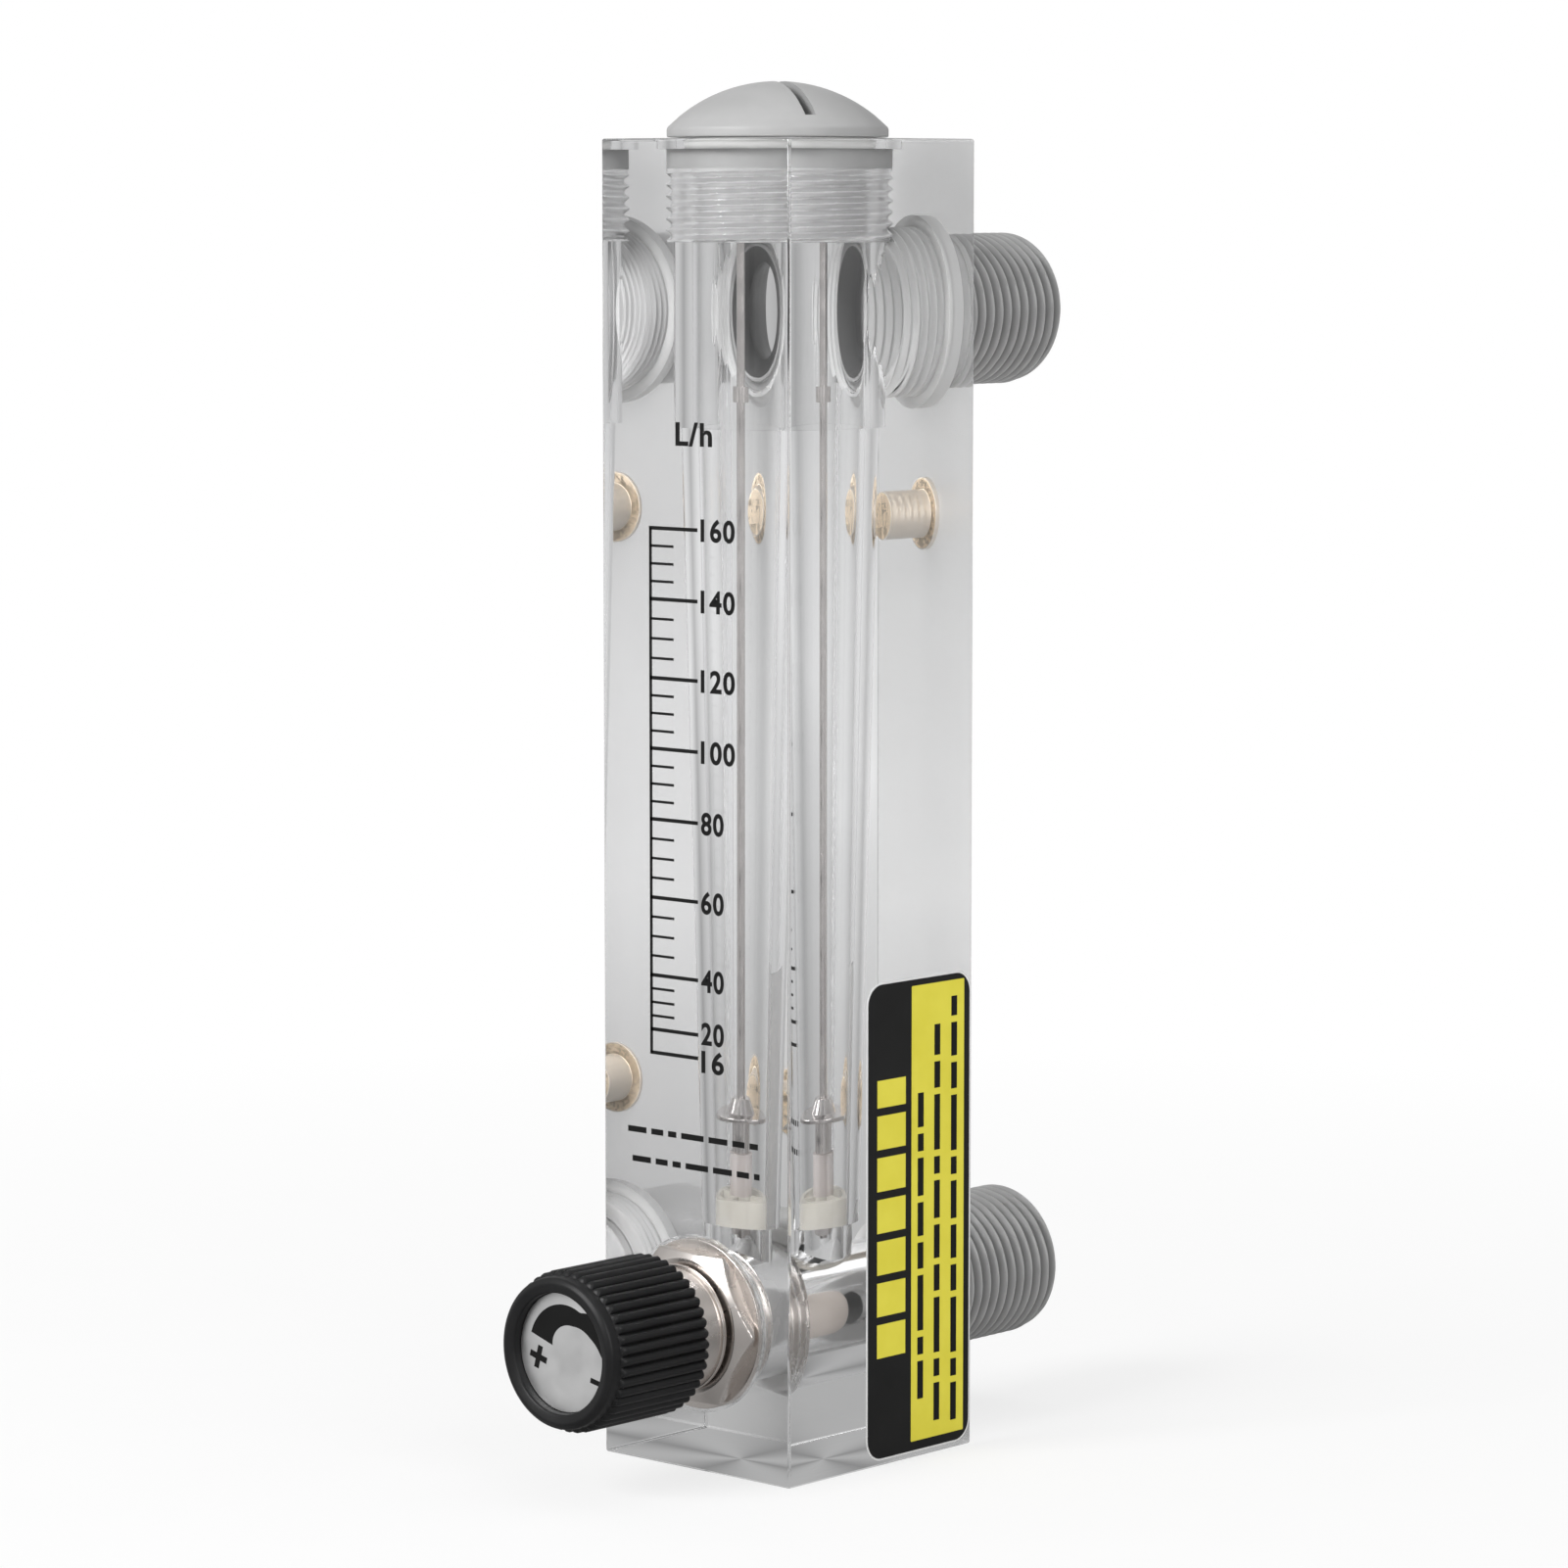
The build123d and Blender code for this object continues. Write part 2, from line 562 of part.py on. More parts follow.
# Knob with its face disc and screw
def knob_ribs():
    """Ring of ribs round the knob's skirt, tapered down to the bezel at the front."""
    crest_r = KNOB_ROOT_R + KNOB_RIB_HEIGHT
    corners = []
    for index in range(KNOB_RIBS):
        for share, radius in ((0.0, KNOB_ROOT_R), (0.2, KNOB_ROOT_R), (0.45, crest_r), (0.75, crest_r)):
            angle = 2 * math.pi * (index + share) / KNOB_RIBS
            corners.append((radius * math.cos(angle), radius * math.sin(angle)))
    start_y = knob_front_y + KNOB_RIB_START
    ribs = Pos(0, 0, start_y) * extrude(
        make_face(Polyline(*corners, close=True)), amount=knob_rear_y - start_y)
    taper = turned([
        (0, start_y),
        (KNOB_ROOT_R, start_y),
        (crest_r, start_y + KNOB_RIB_HEIGHT),
        (crest_r, knob_rear_y),
        (0, knob_rear_y),
    ])
    return (ribs & taper) - tube(KNOB_CAVITY_R, 0, start_y - 1, knob_rear_y + 1)


def knob_shell():
    """Ribbed knob: cavity for the gland at the back, hub bore, and a dished front."""
    face_y = knob_front_y + KNOB_FACE_DEPTH
    inner_rim_y = knob_front_y + KNOB_FACE_DEPTH / 2
    bezel_side_y = knob_front_y + KNOB_RIB_START
    shell = turned([
        (0, disc_rear_y),
        (KNOB_FACE_R, disc_rear_y),
        (KNOB_FACE_R, inner_rim_y),
        (KNOB_BEZEL_CREST_R, knob_front_y),
        (KNOB_BEZEL_EDGE_R, knob_front_y + KNOB_FACE_DEPTH / 5),
        (KNOB_ROOT_R, bezel_side_y),
        (KNOB_ROOT_R, knob_rear_y),
        (0, knob_rear_y),
    ])
    shell += knob_ribs()
    shell -= tube(KNOB_CAVITY_R, 0, knob_hub_y, knob_rear_y + 1)
    hub_bore = tube(SHAFT_R + JOINT_GAP, 0, shaft_tip_y, knob_hub_y + 1) - shaft_flat(JOINT_GAP)
    shell -= hub_bore
    shell -= tube(SCREW_R + FREE_GAP, 0, screw_seat_y - 1, shaft_tip_y + 1)
    shell -= tube(SCREW_HEAD_R + FREE_GAP, 0, disc_rear_y - 1, screw_seat_y)
    return shell


def knob_face_disc():
    """Flat disc in the knob's front recess."""
    return tube(KNOB_FACE_R - JOINT_GAP, 0, disc_rear_y - FACE_DISC_THICKNESS, disc_rear_y)


def knob_screw():
    """Screw through the hub's floor into the stem."""
    screw = tube(SCREW_HEAD_R, 0, screw_seat_y - SCREW_HEAD_HEIGHT, screw_seat_y)
    screw += tube(SCREW_R, 0, screw_seat_y, shaft_tip_y + SCREW_LENGTH - KNOB_HUB_FLOOR)
    head_front_y = screw_seat_y - SCREW_HEAD_HEIGHT
    return screw - hexagon(SCREW_DRIVE_FLATS, head_front_y - 1, head_front_y + SCREW_HEAD_HEIGHT / 2)


# Side label
def side_label():
    """Thin sheet with rounded corners on the +X face."""
    sheet = Box(LABEL_THICKNESS, LABEL_WIDTH, LABEL_HEIGHT, align=(Align.MIN, Align.MAX, Align.MIN))
    sheet = fillet(sheet.edges().filter_by(Axis.X), LABEL_CORNER)
    return Pos(SIDE_X, BACK_Y - LABEL_BACK_MARGIN, LABEL_FOOT_MARGIN) * sheet


# Every node, in the place where it stands in the photograph
def main():
    save(body_block(), "body_block")
    save(top_plug(), "top_plug")
    save(seal_ring(plug_seal_ring_r, plug_seal_r, cap_under_z - plug_seal_r), "top_plug_oring")
    for name, port_z in (("outlet", PORT_HIGH_Z), ("inlet", PORT_LOW_Z)):
        save(across(hose_fitting(), port_z), name + "_fitting")
        save(across(fitting_seal(), port_z), name + "_oring")
    for name, insert_z in (("upper", INSERT_HIGH_Z), ("lower", INSERT_LOW_Z)):
        save(across(panel_insert(), insert_z), "insert_" + name)

    save(guide_rod(), "guide_rod")
    save(rod_spider(), "rod_spider")
    save(rod_nut(), "rod_nut")
    save(tube(LOWER_STOP_R, ROD_R, spider_top_z, float_rest_z), "lower_float_stop")
    save(tube(UPPER_STOP_R, ROD_R, UPPER_STOP_Z, UPPER_STOP_Z + UPPER_STOP_LENGTH), "upper_float_stop")
    save(float_body(), "float")

    save(across(valve_bonnet(), PORT_LOW_Z), "valve_bonnet")
    save(across(bonnet_seal(), PORT_LOW_Z), "bonnet_oring")
    save(across(gland_nut(), PORT_LOW_Z), "gland_nut")
    save(across(stem_packing(), PORT_LOW_Z), "stem_packing")
    save(across(valve_stem(), PORT_LOW_Z), "valve_stem")
    save(across(valve_plug(), PORT_LOW_Z), "valve_plug")
    save(across(knob_shell(), PORT_LOW_Z), "knob_shell")
    save(across(knob_face_disc(), PORT_LOW_Z), "knob_face_disc")
    save(across(knob_screw(), PORT_LOW_Z), "knob_screw")
    save(side_label(), "side_label")


main()
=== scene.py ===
import math

import bmesh
import bpy
import numpy as np
from mathutils import Matrix, Vector


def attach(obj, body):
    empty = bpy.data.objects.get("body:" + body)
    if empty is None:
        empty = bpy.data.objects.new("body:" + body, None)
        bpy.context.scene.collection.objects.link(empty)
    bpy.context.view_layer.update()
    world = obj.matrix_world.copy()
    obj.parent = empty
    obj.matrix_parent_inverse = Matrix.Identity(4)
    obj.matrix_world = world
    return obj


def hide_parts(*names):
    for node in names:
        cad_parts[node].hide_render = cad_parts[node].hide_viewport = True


# Looks of a clear panel-mounted liquid flow meter.
# Every size is in millimetres, in the frame of the solids: +Z up, the scale and the knob face -Y.

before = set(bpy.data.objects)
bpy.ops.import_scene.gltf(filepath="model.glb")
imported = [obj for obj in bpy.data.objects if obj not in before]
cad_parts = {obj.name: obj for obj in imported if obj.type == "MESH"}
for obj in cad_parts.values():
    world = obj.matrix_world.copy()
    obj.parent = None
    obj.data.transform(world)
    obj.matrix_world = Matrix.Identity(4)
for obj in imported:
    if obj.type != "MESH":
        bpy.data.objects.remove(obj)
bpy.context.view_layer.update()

MM = 0.001

# Clear block and the heights of what crosses it
BLOCK_WIDTH = 33.8
BLOCK_DEPTH = 37.2
BLOCK_HEIGHT = 178.0
BLOCK_EDGE = 0.35
FRONT_Y = -16.4
BACK_Y = FRONT_Y + BLOCK_DEPTH
SIDE_X = BLOCK_WIDTH / 2
PORT_LOW_Z = 20.0
PORT_HIGH_Z = 154.8
INSERT_LOW_Z = 47.5
INSERT_HIGH_Z = 127.5
ACRYLIC_INDEX = 1.49

# Gap between pieces that fit together, and how near a point counts as on a face
JOINT_GAP = 0.05
NEAR = 0.01

# Metering bore
THROAT_R = 5.1
TAPER_BOTTOM_Z = 32.4
TAPER_BOTTOM_R = 6.3
TAPER_TOP_Z = 139.7
TAPER_TOP_R = 9.65
OUTLET_CHAMBER_R = 10.75

# Top plug: M24 x 1.5 thread, smooth neck, domed cap with a coin slot
PLUG_BOTTOM_Z = 164.3
PLUG_THREAD_TOP_Z = 174.0
PLUG_THREAD_R = 12.0
PLUG_NECK_R = 11.9
PLUG_LEAD = 0.8
PLUG_SEAT_Z = 176.6
PLUG_SEAT_R = 13.6
CAP_UNDER_Z = 178.15
CAP_R = 14.8
CAP_RIM_TOP_Z = 179.4
CAP_RISE = 6.2
SLOT_WIDTH = 1.5
SLOT_DEPTH = 4.6
SLOT_TURN_DEG = -28.4
ROD_R = 1.0
ROD_HOLE_TOP_Z = 172.3

# Threads: pitch and depth of the groove, and the shares of a pitch that the flat crest and the
# two flanks take
FINE_PITCH = 1.5
FINE_DEPTH = 0.85
PIPE_PITCH = 1.814
PIPE_DEPTH = 1.05
CREST_SHARE = 0.12
FLANK_SHARE = 0.72

# Hose fittings
FITTING_BORE_R = 6.6
FITTING_MOUTH_R = 8.8
FITTING_MOUTH_END_Y = 20.0
TAP_START_Y = 2.0
FITTING_NOSE_R = 9.4
FITTING_NOSE_Y = 10.9
FITTING_THREAD_Y = 12.4
FITTING_THREAD_R = 11.4
FITTING_NECK_Y = 17.4
FITTING_NECK_R = 10.8
FITTING_SEAT_Y = 17.9
FLANGE_Y = 19.4
FLANGE_R = 13.0
NIPPLE_NECK_R = 10.0
NIPPLE_THREAD_Y = 24.2
NIPPLE_THREAD_R = 10.478
NIPPLE_CHAMFER_Y = 46.9
NIPPLE_END_Y = 47.8

# Brass panel inserts
INSERT_Y = 11.8
INSERT_R = 3.25
INSERT_FLANGE_R = 4.9
INSERT_FLANGE_Y = 20.0
INSERT_HOLE_R = 2.1
INSERT_HOLE_Y = 13.2
INSERT_PITCH = 1.37
INSERT_GROOVE_DEPTH = 0.35

# Float, standing on the lower stop
FLOAT_BORE_R = 1.05
FLOAT_BOTTOM_Z = 41.7
FLOAT_STEM_R = 2.15
FLOAT_DISC_Z = 46.6
FLOAT_DISC_R = 6.0
FLOAT_DISC_TOP_Z = 47.2
FLOAT_CONE_R = 3.3
FLOAT_CONE_TOP_R = 2.1
FLOAT_TOP_Z = 49.2

# Valve chamber, bonnet, gland, stem and plug, all about the lower port's axis
CHAMBER_R = 9.25
SEAT_R = 4.5
SEAT_Y = 8.0
BONNET_SEAT_R = 12.0
BONNET_SEAT_Y = -13.4
BONNET_TAIL_Y = -8.4
BONNET_THREAD_R = 10.0
BONNET_COLLAR_R = 11.5
BONNET_COLLAR_Y = -14.9
HEX_FLATS = 20.0
HEX_FACE_R = 9.3
HEX_TURN_DEG = 1.5
HEX_FRONT_Y = -19.0
HEX_CHAMFER_Y = -17.6
HEX_FOOT = 0.9
BONNET_NECK_R = 6.5
BONNET_FRONT_Y = -24.6
BONNET_BORE_R = 4.05
PACKING_R = 5.0
PACKING_Y = -22.6
GLAND_FRONT_Y = -26.4
GLAND_WALL_Y = -24.9
GLAND_REAR_Y = -19.6
GLAND_LIP_Y = -20.2
GLAND_R = 8.3
GLAND_LIP_R = 8.6
GLAND_GROOVE_R = 8.05
GLAND_GROOVE_WIDTH = 0.35
GLAND_GROOVE_FLOOR = 0.2
GLAND_HOLE_R = 3.35
SHAFT_TIP_Y = -37.6
SHAFT_R = 3.0
SHANK_Y = -21.0
SHANK_R = 4.0
SHOULDER_Y = -7.35
SHOULDER_END_Y = -5.9
SHOULDER_R = 5.0
SWIVEL_R = 2.45
SWIVEL_END_Y = -0.4
STEM_PITCH = 1.0
STEM_DEPTH = 0.35
VALVE_PLUG_FRONT_Y = -4.6
VALVE_PLUG_END_Y = 4.0
VALVE_PLUG_R = 5.7

# Knob
KNOB_FRONT_Y = -43.35
KNOB_REAR_Y = -25.2
KNOB_ROOT_R = 10.15
KNOB_RIB_HEIGHT = 0.65
KNOB_RIBS = 44
KNOB_RIB_START = 1.85
KNOB_CAVITY_R = 9.2
KNOB_CAVITY_Y = -31.6
KNOB_FACE_R = 8.0
KNOB_FACE_DEPTH = 1.7
KNOB_LIP_DEPTH = 0.4
KNOB_WELL_DEPTH = 3.0
KNOB_CREST_R = 9.3
DISC_THICKNESS = 0.6

# Side label
LABEL_FRONT_Y = -1.0
LABEL_BACK_Y = 20.4
LABEL_FOOT_Z = 0.8
LABEL_TOP_Z = 65.8
LABEL_CORNER = 3.0
LABEL_BORDER = 0.25

# Printing is let this far into the surface that carries it, and stands this far off it
INK_DEPTH = 0.005
INK_HEIGHT = 0.02

# Number of flats round a turned piece
SEGMENTS = 128


# Mesh helpers
def as_object(name, mesh):
    """Object at the origin that shows a mesh."""
    piece = bpy.data.objects.new(name, mesh)
    bpy.context.scene.collection.objects.link(piece)
    return piece


def grid_mesh(name, grid, wrap_rows=False):
    """Mesh over a grid of points given in millimetres, whose columns run round and close.
    A quad joins each point with the next in its row and the same two in the next row."""
    rows, columns = grid.shape[:2]
    row = np.arange(rows if wrap_rows else rows - 1)[:, None]
    column = np.arange(columns)[None, :]
    next_row = (row + 1) % rows
    next_column = (column + 1) % columns
    quads = np.stack([
        row * columns + column,
        row * columns + next_column,
        next_row * columns + next_column,
        next_row * columns + column,
    ], axis=-1).reshape(-1, 4)
    mesh = bpy.data.meshes.new(name)
    mesh.from_pydata(grid.reshape(-1, 3) * MM, [], quads.tolist())
    return mesh


def mended(mesh, merge=1e-7):
    """Merges doubled points, drops empty faces and turns all faces outwards."""
    work = bmesh.new()
    work.from_mesh(mesh)
    bmesh.ops.remove_doubles(work, verts=work.verts, dist=merge)
    bmesh.ops.dissolve_degenerate(work, edges=work.edges, dist=merge)
    bmesh.ops.recalc_face_normals(work, faces=work.faces)
    work.to_mesh(mesh)
    work.free()
    return mesh


def smoothed(mesh, sharp_deg=32):
    """Smooth shading, apart from edges that turn more than an angle."""
    mesh.shade_smooth()
    mesh.set_sharp_from_angle(angle=math.radians(sharp_deg))
    return mesh


def rows_of(items, name):
    """Three numbers of each vertex or face of a mesh, such as its place, as one row each."""
    flat = np.zeros(len(items) * 3)
    items.foreach_get(name, flat)
    return flat.reshape(-1, 3)


def marked_faces(mesh, name, levels):
    """Writes a number on each face: 0, and then each level where its faces are chosen."""
    value = np.zeros(len(mesh.polygons))
    for faces, level in levels:
        value[faces] = level
    mesh.attributes.new(name, "FLOAT", "FACE").data.foreach_set("value", value)


def eased(profile, radius, steps=4):
    """Profile whose inner corners are replaced by short curves: a point on each goes from one
    neighbour to the other as (1-t)^2 A + 2t(1-t) C + t^2 B, with A and B a radius from corner C."""
    points = np.asarray(profile, float)
    corner = points[1:-1]
    before = points[:-2] - corner
    after = points[2:] - corner
    length_before = np.linalg.norm(before, axis=1, keepdims=True)
    length_after = np.linalg.norm(after, axis=1, keepdims=True)
    start = corner + before * np.minimum(radius / length_before, 0.45)
    end = corner + after * np.minimum(radius / length_after, 0.45)
    t = np.linspace(0, 1, steps + 1)[None, :, None]
    curve = (1 - t) ** 2 * start[:, None] + 2 * t * (1 - t) * corner[:, None] + t ** 2 * end[:, None]
    return np.concatenate([points[:1], curve.reshape(-1, 2), points[-1:]])


def eased_loop(profile, radius, steps=4):
    """The same for a profile that closes on itself."""
    points = np.asarray(profile, float)
    looped = np.concatenate([points[-1:], points, points[:1]])
    return eased(looped, radius, steps)[1:-1]


def stepped(start, steps):
    """Profile of a stepped shaft or hole, closed at the axis: from its start, each step has a
    radius and the height that it runs to."""
    points = [(0, start)]
    for radius, end in steps:
        points += [(radius, start), (radius, end)]
        start = end
    return points + [(0, start)]


def divided(profile, step, closed, spans=()):
    """Profile with points no further apart than a step, so that a thread can be cut in it. With
    spans of height, only the lines that enter one of them are divided."""
    points = np.asarray(profile, float)
    if closed:
        points = np.concatenate([points, points[:1]])
    lengths = np.linalg.norm(np.diff(points, axis=0), axis=1)
    counts = np.maximum(np.ceil(lengths / step).astype(int), 1)
    if spans:
        low = np.minimum(points[:-1, 1], points[1:, 1])
        high = np.maximum(points[:-1, 1], points[1:, 1])
        entered = [(low < end) & (high > start) for start, end in spans]
        counts = np.where(np.any(entered, axis=0), counts, 1)
    share = np.concatenate([np.arange(n) / n for n in counts])
    index = np.repeat(np.arange(len(counts)), counts)
    fine = points[index] + (points[index + 1] - points[index]) * share[:, None]
    return fine if closed else np.concatenate([fine, points[-1:]])


def groove(height, angle, pitch):
    """Depth of a screw thread from 0 at its crest to 1 at its root: a trapezoid that climbs
    one pitch for each turn of the angle."""
    phase = np.mod(height / pitch - angle / (2 * math.pi), 1.0)
    ramp = 1 - np.abs(2 * phase - 1)
    return np.clip((ramp - CREST_SHARE) / FLANK_SHARE, 0, 1)


def threaded(radius, height, angle, thread):
    """Radius held below a thread's surface between its two ends, where it fades out."""
    start, end, crest, pitch, depth, fade = thread
    inside = np.clip((height - start) / fade[0], 0, 1) * np.clip((end - height) / fade[1], 0, 1)
    cut = crest - depth * inside * groove(height, angle, pitch)
    within = (height >= start) & (height <= end)
    return np.where(within, np.minimum(radius, cut), radius)


def turned(profile, threads=(), closed=False, segments=SEGMENTS, cutter=False):
    """Grid of a surface of revolution about Z: x = r cos a, y = r sin a, z = h for each point
    (r, h) of the profile. Inside a thread the radius also falls with the groove's depth, and a
    cutter has small faces only there."""
    points = np.asarray(profile, float)
    if threads:
        finest = min(thread[3] for thread in threads) / 12
        spans = [thread[:2] for thread in threads] if cutter else ()
        points = divided(points, finest, closed, spans)
    angle = np.arange(segments)[None, :] * 2 * math.pi / segments
    height = np.repeat(points[:, 1:2], segments, axis=1)
    radius = np.repeat(points[:, 0:1], segments, axis=1)
    for thread in threads:
        radius = np.where(radius > thread[2] - 0.3, threaded(radius, height, angle, thread), radius)
    return np.stack([radius * np.cos(angle), radius * np.sin(angle), height], axis=-1)


def across(grid, axis_z):
    """Lays a grid turned about Z along +Y at the height of its axis: (x, y, z) to (x, z, axis - y)."""
    return np.stack([grid[..., 0], grid[..., 2], axis_z - grid[..., 1]], axis=-1)


def turned_piece(name, grid, axis_z, closed=True, sharp_deg=32):
    """Clean, smooth mesh of a grid laid along +Y; closed when its profile closes on itself."""
    return smoothed(mended(grid_mesh(name, across(grid, axis_z), wrap_rows=closed)), sharp_deg)


def cut_away(target, others):
    """Mesh of one mesh with others cut from it."""
    body = as_object("whole", target)
    tools = [as_object("tool", mesh) for mesh in others]
    for tool in tools:
        step = body.modifiers.new("step", "BOOLEAN")
        step.operation = "DIFFERENCE"
        step.object = tool
        step.solver = "EXACT"
    evaluated = body.evaluated_get(bpy.context.evaluated_depsgraph_get())
    result = bpy.data.meshes.new_from_object(evaluated)
    for leftover in [body, *tools]:
        bpy.data.objects.remove(leftover)
    return result


def box_mesh(low, high, edge=0.0):
    """Box between two corners, with its edges rounded."""
    work = bmesh.new()
    low, high = Vector(low) * MM, Vector(high) * MM
    bmesh.ops.create_cube(work, size=1.0, matrix=Matrix.LocRotScale((low + high) / 2, None, high - low))
    for face in work.faces:
        face.smooth = False
    if edge:
        rounded = bmesh.ops.bevel(work, geom=work.edges[:], offset=edge * MM, segments=3,
                                  affect="EDGES", profile=0.5)
        for face in rounded["faces"]:
            face.smooth = True
    mesh = bpy.data.meshes.new("box")
    work.to_mesh(mesh)
    work.free()
    return mesh


def plate_mesh(outline, place, thickness):
    """Thin plate: a closed outline of (u, v) points carried to the surface by place(u, v, w),
    from w = -INK_DEPTH to w = thickness."""
    count = len(outline)
    low = place(outline[:, 0], outline[:, 1], np.full(count, -INK_DEPTH))
    high = place(outline[:, 0], outline[:, 1], np.full(count, thickness))
    points = np.concatenate([low, high]) * MM
    index = np.arange(count)
    following = (index + 1) % count
    sides = np.stack([index, following, following + count, index + count], axis=1).tolist()
    faces = [index[::-1].tolist(), (index + count).tolist()] + sides
    mesh = bpy.data.meshes.new("plate")
    mesh.from_pydata(points, [], faces)
    return mended(mesh)


def joined(meshes):
    """One mesh out of several."""
    work = bmesh.new()
    for mesh in meshes:
        work.from_mesh(mesh)
    whole = bpy.data.meshes.new("joined")
    work.to_mesh(whole)
    work.free()
    return whole


def add_piece(name, mesh, material, body, replaces=(), weighted=True):
    """Shows a mesh as one piece of the object, riding on a body of the solids."""
    mesh.name = name
    mesh.materials.clear()
    mesh.materials.append(material)
    piece = as_object(name, mesh)
    if weighted:
        even = piece.modifiers.new("even_shading", "WEIGHTED_NORMAL")
        even.keep_sharp = True
    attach(piece, body)
    if replaces:
        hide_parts(*replaces)
    return piece


# Material helpers
class Tree:
    """Empty node tree of a material or the world, in which one call makes and wires a node."""

    def __init__(self, owner):
        owner.use_nodes = True
        self.tree = owner.node_tree
        self.tree.nodes.clear()

    def node(self, kind, inputs=(), **settings):
        """New node with its settings. An input that is given another node's output is linked to
        it, and any other takes what it is given as its value."""
        node = self.tree.nodes.new("ShaderNode" + kind)
        for name, setting in settings.items():
            setattr(node, name, setting)
        for place, value in dict(inputs).items():
            if isinstance(value, bpy.types.NodeSocket):
                self.tree.links.new(value, node.inputs[place])
            else:
                node.inputs[place].default_value = value
        return node


def new_material(name):
    """Material and its empty tree."""
    material = bpy.data.materials.new(name)
    return material, Tree(material)


def grey(level):
    """Neutral colour."""
    return (level, level, level, 1)


def grain(tree, scale, detail=3.0):
    """Noise in the object's own coordinates, in metres."""
    place = tree.node("TexCoord").outputs["Object"]
    return tree.node("TexNoise", {"Vector": place, "Scale": scale, "Detail": detail}).outputs["Fac"]


def spread(tree, source, low, high):
    """Maps a pattern's middle part to a range of values."""
    span = {"Value": source, "From Min": 0.3, "From Max": 0.7, "To Min": low, "To Max": high}
    return tree.node("MapRange", span).outputs["Result"]


def tinted(tree, source, dark, light):
    """Maps a pattern to a mix of two colours."""
    colours = {"Factor": spread(tree, source, 0.0, 1.0), "A": (*dark, 1), "B": (*light, 1)}
    return tree.node("Mix", colours, data_type="RGBA").outputs["Result"]


def shaded(tree, colour, attribute, shade):
    """Colour with painted shade: made darker by a share where an attribute of the mesh is high."""
    colours = {"Factor": marked(tree, attribute), "A": colour, "B": grey(1 - shade)}
    return tree.node("Mix", colours, data_type="RGBA", blend_type="MULTIPLY").outputs["Result"]


def marked(tree, attribute):
    """Value of an attribute of the mesh."""
    return tree.node("Attribute", attribute_name=attribute).outputs["Fac"]


def bumped(tree, source, distance_mm):
    """Bump from a pattern, as deep as a distance."""
    relief = {"Height": source, "Strength": 1.0, "Distance": distance_mm * MM}
    return tree.node("Bump", relief).outputs["Normal"]


def mixed(tree, factor, first, second):
    """First shader where the factor is 0, second where it is 1."""
    return tree.node("MixShader", {"Fac": factor, 1: first, 2: second}).outputs["Shader"]


def worked(tree, operation, *terms):
    """Result of an operation on one or two numbers."""
    return tree.node("Math", dict(enumerate(terms)), operation=operation).outputs["Value"]


def moulded(name, dark, light, roughness, grain_per_m=2500, grain_mm=0.006, specular=0.5, clearness=0.0,
            painted_shade_strength=0.0):
    """Moulded plastic: a faint mottle in its colour, an uneven gloss and a fine grain. A natural
    plastic also lets a share of the light straight through, and one with threads or bores has
    painted shade in its colour, darker down its grooves and in its bore."""
    material, tree = new_material(name)
    mottle = grain(tree, 160)
    colour = tinted(tree, mottle, dark, light)
    # Painted shade: the colour is darkened where the mesh marks a groove or a bore
    if painted_shade_strength:
        colour = shaded(tree, colour, "painted_shade_share", painted_shade_strength)
    shader = tree.node("BsdfPrincipled", {
        "Base Color": colour,
        "Roughness": spread(tree, mottle, roughness - 0.05, roughness + 0.05),
        "Normal": bumped(tree, grain(tree, grain_per_m, 5.0), grain_mm),
        "Specular IOR Level": specular,
        "Alpha": 1 - clearness,
    })
    tree.node("OutputMaterial", {"Surface": shader.outputs["BSDF"]})
    return material


def machined(name, dark, light, roughness, lines_per_m=5200, line_mm=0.0015):
    """Turned or plated metal: fine tool marks that run round the axis, and a faint stain. The
    marks are a noise squeezed fifty times across the axis."""
    material, tree = new_material(name)
    stain = grain(tree, 220)
    place = tree.node("TexCoord").outputs["Object"]
    squeezed = tree.node("Mapping", {"Vector": place, "Scale": (0.02, 1.0, 0.02)}).outputs["Vector"]
    marks = tree.node("TexNoise", {"Vector": squeezed, "Scale": lines_per_m, "Detail": 2.0}).outputs["Fac"]
    shader = tree.node("BsdfPrincipled", {
        "Metallic": 1.0,
        "Base Color": tinted(tree, stain, dark, light),
        "Roughness": spread(tree, stain, roughness - 0.04, roughness + 0.06),
        "Normal": bumped(tree, marks, line_mm),
    })
    tree.node("OutputMaterial", {"Surface": shader.outputs["BSDF"]})
    return material


def acrylic(name):
    """Clear acrylic that lets the lamps through. Face attributes say where a cutter has left it
    dull, where another piece is seated in it, and how pale the cut looks there."""
    material, tree = new_material(name)
    glass = tree.node("BsdfGlass", {
        "IOR": ACRYLIC_INDEX,
        "Roughness": marked(tree, "cut_roughness"),
        "Color": tinted(tree, grain(tree, 90), (0.965, 0.966, 0.968), (0.985, 0.986, 0.988)),
    }).outputs["BSDF"]
    clear = tree.node("BsdfTransparent", {"Color": grey(0.95)}).outputs["BSDF"]
    veil = tree.node("BsdfDiffuse", {"Color": grey(0.80)}).outputs["BSDF"]
    touching = mixed(tree, marked(tree, "cut_paleness"), clear, veil)
    surface = mixed(tree, marked(tree, "seated"), glass, touching)
    path = tree.node("LightPath").outputs
    unseen = worked(tree, "MAXIMUM", path["Is Shadow Ray"], path["Is Diffuse Ray"])
    tree.node("OutputMaterial", {"Surface": mixed(tree, unseen, surface, clear)})
    return material


